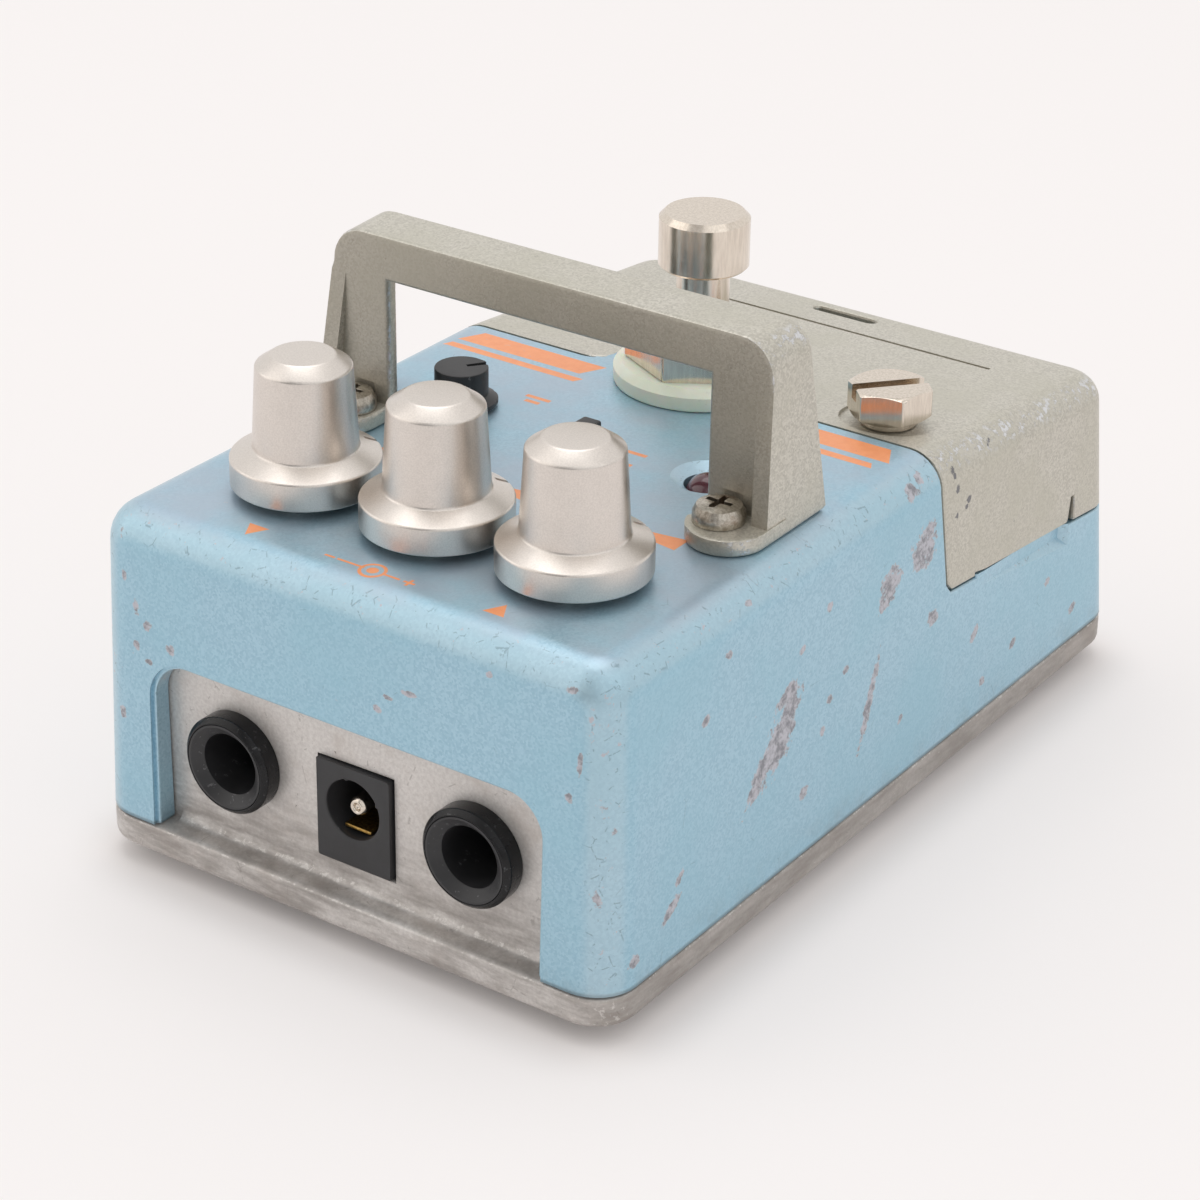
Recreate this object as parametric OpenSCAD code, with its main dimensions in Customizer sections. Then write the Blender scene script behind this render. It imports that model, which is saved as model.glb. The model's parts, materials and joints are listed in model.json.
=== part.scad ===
// Compact guitar delay pedal with a guard handle, in millimetres.
// The origin is on the floor under the middle of the case, the jack end faces -Y and the foot end +Y.

/* [Case] */
// Width of the housing at its lower edge
case_w = 63; // [57:0.5:72]
// Length of the housing at its lower edge
case_d = 100.8; // [91:0.1:112]
// Height of the flat top above the floor
case_h = 39; // [35.4:0.2:45.4]
// Thickness of the cast walls and top
wall = 3.4; // [3:0.1:3.7]
// Radius of the upright corners at the lower edge
corner_r = 4.5; // [4.5:0.1:7]
// Radius of the top edges
edge_r = 4; // [3.9:0.1:4.5]
// Lean of the sides and the jack end, in degrees
side_draft = 1.4; // [0:0.1:2]
// Lean of the foot end, in degrees
end_draft = 7.4; // [4:0.1:8]
// Fall of the top from the cover seam to the foot end
foot_drop = 3.4; // [1:0.1:4]
// Radius of the top edge at the foot end
foot_edge_r = 3.2; // [2.5:0.1:3.8]

/* [Base] */
// Thickness of the base plate
base_t = 3.6; // [3:0.1:5]
// Radius of the base plate's lower edge
base_edge_r = 0.9; // [0.5:0.1:2.5]
// Thickness of the locating lips inside the housing
lip_t = 1.2; // [0.8:0.1:1.4]
// Height of the locating lips
lip_h = 1.5; // [1:0.1:3]
// Radius of a rubber foot
pad_r = 4; // [3:0.1:5]
// Thickness of a rubber foot
pad_t = 2.6; // [2.5:0.1:3]
// Height by which a rubber foot stands out
pad_proud = 2; // [1.8:0.1:2.2]
// Distance of a rubber foot from the side of the case
pad_side = 9.5; // [8:0.5:12]
// Distance of a rubber foot from the end of the case
pad_end = 17; // [16:0.5:20]
// Distance of a base screw from the side of the case
boss_side = 5.2; // [5:0.1:6]
// Distance of a front base screw from the jack end
boss_front = 8.5; // [8.3:0.1:10]
// Distance of a rear base screw from the foot end
boss_back = 6; // [5.5:0.1:6.5]
// Radius of a base screw boss
boss_r = 3; // [2.6:0.1:3.2]
// Height of a base screw boss
boss_h = 12; // [10:0.5:12.5]

/* [Jack panel] */
// Distance of the notch in the jack end from the sides of the case
notch_side = 8.2; // [6.5:0.1:9.5]
// Height of the notch above the base plate
notch_h = 18.5; // [17.5:0.1:19]
// Radius of the notch's upper corners
notch_r = 4; // [2:0.2:6]
// Depth of the panel behind the jack end
panel_recess = 2.75; // [2.3:0.05:3]
// Thickness of the panel
panel_t = 2; // [1.6:0.1:2.2]
// Overlap of the panel behind the edge of the notch
panel_margin = 2; // [1:0.1:2.2]
// Distance of each jack from the middle
jack_x = 14.6; // [13.5:0.1:15]
// Height of the jacks above the base plate
jack_rise = 9.5; // [8:0.1:9.8]
// Radius of the jack bore
jack_bore_r = 3.25; // [3.2:0.01:3.4]
// Radius of the jack's threaded bush
jack_bush_r = 4.5; // [4.3:0.05:4.7]
// Outer radius of the jack's ring nut
ring_r = 5.2; // [5.1:0.05:6]
// Thickness of the jack's ring nut
ring_t = 2.3; // [1.8:0.05:2.6]
// Width of a jack body
jack_body_w = 14.6; // [13:0.1:15]
// Distance of a jack body above the base plate
jack_foot = 2.2; // [1.8:0.1:3]
// Length of a jack's pins
jack_pin_l = 3; // [1.5:0.1:3.5]
// Length of a jack body behind the panel
jack_body_l = 23; // [20:0.5:24]
// Width of the power inlet
dc_w = 9; // [8.6:0.1:10]
// Height of the power inlet
dc_h = 11; // [10:0.1:12]
// Length of the power inlet
dc_l = 14; // [12:0.5:16]
// Height of the power inlet's middle above the base plate
dc_rise = 8; // [7:0.1:9]
// Height by which the power inlet stands out of the panel
dc_proud = 0.6; // [0.2:0.1:1]
// Radius of the power inlet's socket
dc_hole_r = 3.15; // [3:0.05:3.4]
// Depth of the power inlet's socket
dc_hole_l = 9.5; // [8:0.5:10]
// Height of the socket above the inlet's middle
dc_hole_up = 1; // [0.5:0.1:1.5]
// Radius of the power inlet's centre pin
dc_pin_r = 1; // [0.95:0.05:1.25]

/* [Knobs] */
// Distance between neighbouring knobs
knob_pitch = 16; // [15.6:0.1:16.6]
// Distance of the knobs from the jack end
knob_setback = 15.9; // [15.5:0.1:18]
// Gap under the knob skirts
knob_gap = 0.85; // [0.5:0.05:1.2]
// Height of a knob
knob_h = 13.4; // [12:0.05:15]
// Radius of the skirt
skirt_r = 7.5; // [7.2:0.05:7.6]
// Height of the skirt's upright wall
skirt_h = 2.85; // [2.8:0.05:3.5]
// Height of the bevel above the skirt
bevel_h = 1; // [0.5:0.05:1.5]
// Radius of the knob body above the bevel
knob_low_r = 5.25; // [5:0.05:5.8]
// Radius of the knob body under the crown
knob_top_r = 4.75; // [4.4:0.05:5]
// Radius of the flat crown
crown_r = 3.15; // [3:0.05:4]
// Height of the chamfer round the crown
crown_h = 1.1; // [0.4:0.05:1.4]
// Radius of a knob shaft
shaft_r = 3; // [2.9:0.01:3.1]
// Radius of a control's threaded bush
pot_bush_r = 3.5; // [3.4:0.01:3.6]
// Radius of a control's body
pot_r = 6; // [5:0.1:7]
// Height of a control's body
pot_h = 7; // [6:0.1:7.2]
// Width of a control nut across its flats
pot_nut_af = 10; // [9:0.1:10.4]
// Thickness of a control nut
pot_nut_t = 2; // [1.5:0.1:2.1]

/* [Small controls] */
// Distance of the small knob from the middle
trim_x = 16; // [15:0.1:17]
// Distance of the small knob from the jack end
trim_setback = 40.95; // [40:0.05:42]
// Height of the small knob's top above the case
trim_rise = 4.3; // [3.5:0.1:6]
// Radius of the small knob
trim_r = 2.8; // [2.5:0.05:3.2]
// Radius of the small knob's flange
trim_flange_r = 3.8; // [3.4:0.05:4.2]
// Height of the small knob's flange
trim_flange_h = 1.1; // [0.8:0.05:1.4]
// Width of the small control's body
trim_pot_w = 9.5; // [8:0.1:10]
// Height of the small control's body
trim_pot_h = 5.8; // [5:0.1:6.2]
// Radius of the small control's shaft
trim_shaft_r = 1.5; // [1.4:0.05:1.6]
// Distance of the lever from the jack end
lever_setback = 40.3; // [39.5:0.05:41]
// Width of the lever
lever_w = 2.2; // [1.8:0.05:2.6]
// Length of the lever
lever_l = 3; // [2.4:0.05:3.4]
// Height of the lever above the case
lever_rise = 2.5; // [1.5:0.1:3.5]
// Travel of the lever
lever_travel = 2; // [1:0.1:2.5]
// Height of the switch body
slide_h = 5; // [4.5:0.1:6]
// Distance of the indicator from the middle
led_x = 14.2; // [13.5:0.1:15.5]
// Distance of the indicator from the jack end
led_setback = 41.5; // [40.5:0.05:42]
// Radius of the indicator lens
led_r = 2.45; // [2.3:0.05:2.6]
// Height of the lens above the case
led_rise = 0.3; // [0.1:0.05:1]
// Radius of the dimple round the lens
dimple_r = 3.9; // [3.5:0.1:4.5]
// Depth of the dimple round the lens
dimple_h = 0.8; // [0.4:0.05:1]

/* [Footswitch] */
// Distance of the footswitch from the jack end
switch_setback = 61.45; // [61.2:0.05:63]
// Radius of the button cap
cap_r = 4.75; // [4.4:0.05:5.5]
// Height of the button cap
cap_h = 5.9; // [5:0.1:7]
// Height of the cap's top above the case
cap_rise = 18.7; // [18:0.1:19.5]
// Size of the chamfer round the cap
cap_chamfer = 0.6; // [0.3:0.05:1]
// Radius of the stem
plunger_r = 2.8; // [2.6:0.05:3]
// Radius of the threaded bushing
bushing_r = 6; // [5.8:0.05:6.2]
// Height of the bushing above its nut
bushing_rise = 1; // [0.5:0.1:1.6]
// Width of the hex nut across its flats
nut_af = 14; // [13.5:0.1:15]
// Thickness of the hex nut
nut_t = 3; // [2.5:0.1:3.5]
// Outer radius of the translucent washer
washer_r = 9.2; // [8.5:0.1:10]
// Thickness of the translucent washer
washer_t = 2.4; // [2:0.1:2.8]
// Thickness of the nut inside the case
lock_nut_t = 2.2; // [1.8:0.1:2.6]
// Width and length of the switch body
switch_w = 17; // [16:0.1:17.4]
// Height of the switch body
switch_h = 13; // [12:0.1:14]
// Length of a switch terminal
lug_l = 4; // [3:0.1:5]

/* [Handle] */
// Height of the handle above the case
handle_h = 20; // [19:0.1:24]
// Distance of the handle's web from the jack end, at the top
handle_setback = 33.1; // [32.5:0.05:34]
// Depth of the top bar from front to back
bar_d = 6.6; // [6:0.1:8]
// Forward flare of the uprights at their feet
flare_front = 1.9; // [1:0.1:2.4]
// Rearward flare of the uprights at their feet
flare_back = 2.3; // [1:0.1:3]
// Distance of the handle's feet from the sides of the case
handle_side = 4.1; // [3.9:0.1:4.7]
// Inward lean of the uprights from foot to top
handle_in = 1.1; // [0.6:0.1:1.9]
// Width of an upright at its foot
upright_w = 8.2; // [7.8:0.1:8.3]
// Height of the front web of the top bar
bar_h = 4.8; // [4:0.1:5.4]
// Radius of the handle's top corners at the front
handle_r = 4; // [3:0.1:5]
// Radius of the handle's top corners at the back
handle_back_r = 2.8; // [2.3:0.1:4]
// Thickness of the web
web_t = 1.6; // [1.2:0.1:2]
// Thickness of the flange round the web
flange_t = 1.8; // [1.5:0.1:2.2]
// Thickness of a handle foot
lobe_t = 1.8; // [1.4:0.1:2.2]
// Distance of the handle screws from the outside of the feet
handle_screw_in = 5.1; // [4.9:0.1:5.4]
// Distance of the handle screws in front of the web
handle_screw_out = 2.4; // [2.2:0.1:2.6]
// Length of a handle screw under its head
handle_screw_l = 8; // [7:0.5:9]

/* [Battery cover] */
// Distance of the cover's seam from the jack end
seam_setback = 59.45; // [59:0.05:60]
// Thickness of the cover
cover_t = 1.8; // [1.5:0.1:2]
// Radius of the cover's notch round the footswitch
cover_notch_r = 11.2; // [11:0.1:11.6]
// Radius of the corners of that notch
notch_lead_r = 2.5; // [1:0.1:3]
// Height of the flap's tongue above the base plate
tongue_rise = 17.4; // [16.5:0.1:18]
// Length of the flap's tongue
tongue_l = 5; // [4:0.1:6]
// Step from the tongue up to the flap's edge
tongue_step = 0.4; // [0.2:0.1:1]
// Rearward lean of the flap's front edge
flap_lean = 1.9; // [0.5:0.1:2.5]
// Fall of the flap's lower edge, in degrees
flap_fall = 6.2; // [3:0.1:7]
// Width of the slot in the cover's top
slot_w = 1.5; // [1:0.1:2]
// Length of the slot in the cover's top
slot_l = 8; // [5:0.5:18]
// Distance of the slot's middle left of the case's middle
slot_x = 1; // [0:0.1:2]
// Distance of the slot from the foot end
slot_end = 7.95; // [7.75:0.05:8.85]
// Width of the groove across the cover's top
groove_w = 0.5; // [0.3:0.05:0.8]
// Distance of the groove's ends from the sides of the case
groove_side = 11.1; // [7:0.1:13.5]
// Distance of the groove from the foot end
groove_end = 13.05; // [11.85:0.05:14.35]
// Distance of the thumbscrew from the side of the case
screw_side = 10.8; // [10.3:0.1:11.5]
// Distance of the thumbscrew from the seam
screw_back = 5.95; // [5.6:0.05:6.4]
// Width of the thumbscrew's head across its flats
screw_af = 7.8; // [7:0.1:8.5]
// Height of the thumbscrew's head
screw_head_h = 3.3; // [2.8:0.1:4]
// Radius of the thumbscrew's shank
screw_r = 2; // [1.8:0.05:2.2]

/* [Inside] */
// Thickness of the circuit board
board_t = 1.6; // [1.2:0.1:2]
// Distance of the circuit board from the side walls
board_side = 5.1; // [4.9:0.1:6.1]
// Length of a control's solder pins
pin_l = 1.6; // [1:0.1:2]
// Distance of the battery bay from the side walls
bay_side = 1.3; // [1.3:0.1:2]
// Room above the battery at the foot end
battery_head = 1.7; // [1.7:0.1:3.2]
// Thickness of the foam behind the battery at its top
foam_t = 3.6; // [3.6:0.1:5]
// Thickness of the battery connector
snap_t = 4.5; // [3.5:0.1:5]
// Thickness of the wall in front of the battery
bay_wall_t = 1.5; // [1.2:0.1:1.8]
// Distance of that wall from the switch body and the thumbscrew's boss
bay_clear = 1; // [0.8:0.1:1.5]
// Radius of an inner wire
wire_r = 0.6; // [0.4:0.05:0.7]
// Radius of the small screws' shanks
small_screw_r = 1.5; // [1.4:0.05:1.6]
// Radius of the small screws' heads
small_head_r = 2.6; // [2.4:0.05:2.8]
// Height of the small screws' heads
small_head_h = 2; // [1.6:0.1:2.2]

/* [Fits] */
// Radial clearance of a turning shaft
running_gap = 0.05; // [0.02:0.01:0.09]
// Radial clearance of a fixed piece in its hole
hole_gap = 0.1; // [0.05:0.01:0.2]
// Clearance between the cover and the housing
cover_gap = 0.2; // [0.15:0.01:0.3]
// Clearance round a sliding piece
slide_gap = 0.3; // [0.2:0.01:0.4]

/* [Hidden] */

$fn = 64;
// Sides of the round pieces inside a hull
hull_fn = 32;
// Overlap of a cut past the face that it opens
cut = 1;
// Thickness of the sheets and discs at the ends of a hull
thin = 0.01;
// Sides of a hexagon
hex_fn = 6;

// Levels and ends of the case
front_y = -case_d / 2;
back_y = case_d / 2;
rim_z = pad_proud + base_t;
deck_z = case_h - wall;
side_lean = tan(side_draft);
end_lean = tan(end_draft);
seam_y = front_y + seam_setback;
edge_z = case_h - edge_r;
edge_x = case_w / 2 - side_lean * (edge_z - rim_z);
edge_front_y = front_y + side_lean * (edge_z - rim_z);
foot_edge_z = case_h - foot_drop - foot_edge_r;
foot_edge_x = case_w / 2 - side_lean * (foot_edge_z - rim_z);
foot_edge_y = back_y - end_lean * (foot_edge_z - rim_z);
cover_slope = foot_drop / (foot_edge_y - foot_edge_r - seam_y);
inner_x = case_w / 2 - wall;
notch_w = case_w - 2 * notch_side;
function cover_z(y) = case_h - cover_slope * (y - seam_y);
function back_inner_y(z) = back_y - wall - end_lean * (z - rim_z);

// Places of the controls
knob_y = front_y + knob_setback;
knob_z = case_h + knob_gap;
knob_xs = [-knob_pitch, 0, knob_pitch];
trim_y = front_y + trim_setback;
lever_y = front_y + lever_setback;
led_y = front_y + led_setback;
switch_y = front_y + switch_setback;
screw_x = case_w / 2 - screw_side;
screw_y = seam_y + screw_back;

// Knob and control details
nut_room = 0.5;
thread_rise = 0.6;
knob_hollow_r = pot_nut_af / 2 / cos(30) + nut_room;
knob_hollow_h = pot_nut_t + thread_rise;
knob_wall = 2;
pot_bush_h = pot_nut_t + thread_rise;
pot_floor = 2;
pointer_w = 0.6;
pointer_l = 1.6;
pointer_d = 0.3;
pointer_turn = 60;
bevel_turn = atan(bevel_h / (skirt_r - knob_low_r));
pin_w = 0.8;
pin_d = 0.5;
pin_spread = 2.5;
board_top_z = deck_z - pot_h - pin_l;
board_z = board_top_z - board_t;
board_w = 2 * (inner_x - board_side);
board_gap = 0.65;
board_clear = 1.5;
board_front_y = front_y + panel_recess + panel_t + board_gap;
board_back_y = switch_y - switch_w / 2 - board_clear;

// Small control details
trim_lift = 0.3;
trim_cap_t = 0.9;
trim_floor = 1;
trim_groove_w = 0.5;
trim_groove_h = 0.45;
trim_groove_in = 0.6;
trim_turn = 56;
slide_w = 5;
slide_wall = 1.5;
lever_foot = 2.2;
slot_floor = 2.5;
led_body_l = 6;
led_flange_r = 2.95;
led_flange_h = 1;
led_lead_r = 0.3;
led_lead_x = 1.27;
led_centre_z = case_h + led_rise - led_r;
led_base_z = led_centre_z - led_body_l;

// Footswitch details
washer_z = case_h + washer_t;
bushing_top_z = washer_z + nut_t + bushing_rise;
case_top_z = deck_z - lock_nut_t;
case_low_z = case_top_z - switch_h;
cap_low_z = case_h + cap_rise - cap_h;
cap_bore_l = 3;
collar_r = 3.9;
collar_t = 1.5;
collar_gap = 0.1;
collar_z = case_top_z - collar_gap - collar_t;
switch_bore_r = collar_r + nut_room;
switch_floor = 2;
spring_r = 3.4;
spring_wire_r = 0.4;
spring_turns = 5;
spring_steps = 12;
spring_sides = 6;
lug_xs = [-4.5, 0, 4.5];
lug_y = 4;
lug_w = 2;
lug_t = 0.8;
nut_turn = -87;

// Handle details
handle_y = front_y + handle_setback;
handle_foot_x = case_w / 2 - handle_side;
handle_top_x = handle_foot_x - handle_in;
opening_x = handle_foot_x - upright_w;
handle_screw_x = handle_foot_x - handle_screw_in;
handle_top_z = case_h + handle_h;
handle_screw_y = handle_y - handle_screw_out;
arc_steps = 8;
lobe_r = upright_w / 2;
lobe_x = (handle_foot_x + opening_x) / 2;
screw_end = 1.5;
handle_hole_r = small_screw_r + hole_gap;
handle_boss_l = handle_screw_l - lobe_t - wall + screw_end;

// Cover details
flap_edge_z = rim_z + tongue_rise;
flap_slope = tan(flap_fall);
over = 5;
tongue_corner = 1;
slot_y = back_y - slot_end;
groove_x = case_w / 2 - groove_side;
groove_y = back_y - groove_end;
relief_in = 2;
relief_end = 12.45;
relief_l = back_y - relief_end - (seam_y + flap_lean + tongue_corner + tongue_l + relief_in);
relief_w = 2.5;
relief_d = 0.8;
relief_out = 1.6;
relief_y = back_y - relief_end - relief_l;
relief_z = flap_edge_z + tongue_step - flap_slope * (tongue_l + relief_in);
relief_x = case_w / 2 - side_lean * (relief_z - rim_z);
tab_d = 0.2;
slit_w = 0.9;
slit_h = 3.1;
tab_turn = atan(slit_h / relief_l - flap_slope);
tab_bend = atan(tab_d / slit_h);
groove_d = 0.3;
spot_r = 5.2;
spot_d = 0.3;
spot_z = cover_z(screw_y) - spot_d;
shoulder_r = 3;
shoulder_h = 0.95;
seat_gap = 0.05;
head_z = spot_z + seat_gap + shoulder_h;
screw_slot_w = 1.4;
screw_slot_h = 1.5;
screw_slot_turn = 49;
screw_turn = -42;
screw_chamfer = 0.35;
clip_r = 3.5;
clip_t = 0.7;
clip_gap = 0.4;
screw_deck_z = cover_z(screw_y + spot_r) - cover_t - cover_gap;
clip_floor_z = screw_deck_z - clip_t - 2 * clip_gap;
insert_r = 3;
insert_l = 8;
insert_z = clip_floor_z - insert_l;
screw_boss_r = 4;
screw_tip_z = insert_z + screw_end;

// Battery bay and wiring
bay_wall_y = max(switch_y + switch_w / 2, screw_y + screw_boss_r) + bay_clear;
bay_y = bay_wall_y + bay_wall_t;
battery_gap = 0.4;
bay_x = inner_x - bay_side;
battery_y = bay_y + battery_gap;
battery_x = slide_gap - bay_x;
battery_l = 2 * (bay_x - slide_gap) - snap_t;
battery_h = case_h - foot_drop - cover_t - battery_head - rim_z;
battery_t = back_inner_y(rim_z + battery_h) - foam_t - battery_y;
snap_x = battery_x + battery_l;
snap_in = 2.25;
snap_low = 0.75;
bay_wall_x = inner_x - slide_gap;
foam_margin = 6;
foam_low = 1.8;
foam_h = battery_h - 2 * foam_low;
foam_gap = 0.2;
lead_in = 0.7;
lead_z = rim_z + snap_low + 5 * wire_r;
lead_step = 2.4;
lead_out = 1.3;
gate_w = 5.6;
gate_h = 12;
chip_w = 6.5;
chip_l = 14;
chip_h = 3.3;
chip_side = 9;
chip_gap = 1.5;
cap_can_r = 2.5;
cap_can_h = 7;
can_side = 8;
can_pitch = 5.2;
can_gap = 1;
chip_room = 3.25;
chip_pitch = (board_w - chip_side - chip_w / 2 - chip_room - cap_can_r - can_side) / 2;

// Base and panel details
boss_x = case_w / 2 - boss_side;
boss_front_y = front_y + boss_front;
boss_back_y = back_y - boss_back;
pilot_gap = 0.02;
head_sink = 2;
base_bottom_z = pad_proud;
base_screw_l = 10;
lip_gap = 0.2;
lip_end = 12;
panel_y = front_y + panel_recess;
notch_step_w = 0.5;
notch_step_d = 0.4;
seam_h = 0.4;
panel_back_y = panel_y + panel_t;
panel_w = notch_w + 2 * panel_margin;
panel_top_z = rim_z + notch_h + panel_margin;
panel_fillet = 1.2;
panel_gap = 0.1;
jack_z = rim_z + jack_rise;
jack_low_z = rim_z + jack_foot;
jack_top_z = board_z - jack_pin_l;
jack_back_y = panel_back_y + jack_body_l;
jack_bore_l = jack_body_l - 3;
jack_mouth = 0.9;
jack_lip = 0.2;
ring_bevel = 0.5;
jack_pin_ys = [4, 11, 18];
dc_z = rim_z + dc_rise;
dc_front_y = panel_y - dc_proud;
dc_hole_z = dc_z + dc_hole_up;
dc_pin_back = 0.6;
dc_leaf_w = 3.2;
dc_leaf_t = 0.4;
dc_leaf_in = 0.8;
dc_leaf_up = 0.5;

// Rounded upper end of an upright corner of plan radius big_r, its edge rounded by edge
module corner_top(big_r, edge) {
    rotate_extrude($fn = hull_fn) {
        square([big_r - edge + thin, edge]);
        intersection() {
            translate([big_r - edge, 0]) circle(edge, $fn = hull_fn);
            square(big_r);
        }
    }
}

// Closed form of the case, with every face moved in by inset and the lower edge lowered by drop
module case_form(inset = 0, drop = 0) {
    hull()
        for (s = [-1, 1]) {
            translate([s * (edge_x - corner_r), edge_front_y + corner_r, edge_z])
                corner_top(corner_r - inset, edge_r - inset);
            translate([s * (edge_x - edge_r), seam_y, edge_z]) corner_top(edge_r - inset, edge_r - inset);
            translate([s * (foot_edge_x - corner_r), foot_edge_y - corner_r, foot_edge_z])
                corner_top(corner_r - inset, max(foot_edge_r - inset, thin));
            for (e = [-1, 1])
                translate([s * (case_w / 2 - corner_r), e * (case_d / 2 - corner_r), rim_z - drop])
                    cylinder(r = corner_r - inset, h = drop + thin, $fn = hull_fn);
        }
}

// Outline in plan of the blue ground round the footswitch, smaller than the cover's notch by gap
module notch_plan(gap) {
    reach = cover_notch_r - gap;
    translate([0, switch_y]) circle(reach);
    translate([-reach, seam_y - cut]) square([2 * reach, switch_y - seam_y + cut]);
    for (s = [-1, 1])
        difference() {
            translate([s * (cover_notch_r + notch_lead_r / 2), seam_y + (notch_lead_r - cut) / 2])
                square([notch_lead_r + 2 * gap, notch_lead_r + cut], center = true);
            translate([s * (cover_notch_r + notch_lead_r), seam_y + notch_lead_r])
                circle(notch_lead_r + gap);
        }
}

// Side outline of the cover, grown by gap for the seat in the housing
module cover_side(gap) {
    tip_y = seam_y + flap_lean;
    step_y = tip_y + tongue_corner + tongue_l;
    step_z = flap_edge_z + tongue_step - flap_slope * tongue_l;
    far_y = back_y + over;
    polygon([
        [seam_y - gap, case_h + over],
        [seam_y - gap, edge_z],
        [tip_y - gap, flap_edge_z + tongue_corner],
        [tip_y + tongue_corner - gap, flap_edge_z - gap],
        [step_y + gap, flap_edge_z - flap_slope * tongue_l - gap],
        [step_y + gap, step_z - gap],
        [far_y, step_z - flap_slope * (far_y - step_y) - gap],
        [far_y, case_h + over]
    ]);
}

// Extrude a side outline, drawn as Y and Z, across the case
module across(w) {
    rotate([90, 0, 90]) linear_extrude(height = w, center = true) children();
}

// Extrude an outline drawn as X and Z along +Y
module along_y(l) {
    translate([0, l, 0]) rotate([90, 0, 0]) linear_extrude(height = l) children();
}

// Room that the cover takes from the case
module cover_zone(gap) {
    difference() {
        across(case_w + 2 * over) cover_side(gap);
        translate([0, 0, edge_z - over]) linear_extrude(height = edge_r + 2 * over) notch_plan(gap);
    }
}

// Rod along +Y
module rod_y(r, l) {
    rotate([-90, 0, 0]) cylinder(r = r, h = l);
}

// Hexagonal prism
module hex_bar(af, h) {
    cylinder(r = af / 2 / cos(30), h = h, $fn = hex_fn);
}

// Hollow for a finger under the flap's edge on one side, deepest at its far end, with sloping walls
module finger_relief(s) {
    translate([s * relief_x, relief_y, relief_z])
        rotate(s * atan(relief_d / relief_l)) rotate([-flap_fall, 0, 0])
            hull()
                for (out = [0, relief_out]) {
                    l = relief_l - relief_d + out;
                    w = relief_w - relief_d + out;
                    translate([s * out, l / 2, cut - w / 2]) cube([thin, l, w + 2 * cut], center = true);
                }
}

// Waste outside the bent tab of the flap on one side
module tab_waste(s) {
    translate([s * relief_x, relief_y, relief_z])
        rotate([tab_turn, 0, 0]) rotate([0, s * tab_bend, 0])
            translate([s * over / 2, relief_l / 2, -over / 2]) cube([over, relief_l, over], center = true);
}

// Slit through the flap on one side, at the far end of its tab
module tab_slit(s) {
    translate([s * relief_x, relief_y + relief_l + slit_w / 2, relief_z - flap_slope * relief_l])
        cube([2 * over, slit_w, 2 * slit_h], center = true);
}

// Outline of the notch in the jack end, grown by gap, as X and Z above the base plate
module notch_outline(gap = 0) {
    w = notch_w + 2 * gap;
    straight_x = notch_w / 2 - notch_r;
    straight_h = notch_h - notch_r;
    translate([-w / 2, -cut]) square([w, straight_h + cut]);
    translate([-straight_x, 0]) square([2 * straight_x, notch_h + gap]);
    for (s = [-1, 1]) translate([s * straight_x, straight_h]) circle(notch_r + gap);
}

module each_boss() {
    for (s = [-1, 1], y = [boss_front_y, boss_back_y]) translate([s * boss_x, y, 0]) children();
}

module each_handle_screw() {
    for (s = [-1, 1]) translate([s * handle_screw_x, handle_screw_y, 0]) children();
}

module housing_walls() {
    difference() {
        union() {
            difference() {
                case_form();
                cover_zone(cover_gap);
            }
            case_form(cover_t + cover_gap);
            translate([0, 0, edge_z]) linear_extrude(height = edge_r)
                intersection() {
                    notch_plan(cover_gap);
                    translate([-case_w / 2, seam_y - cover_gap]) square([case_w, case_d]);
                }
        }
        case_form(wall, cut);
    }
}

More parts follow.
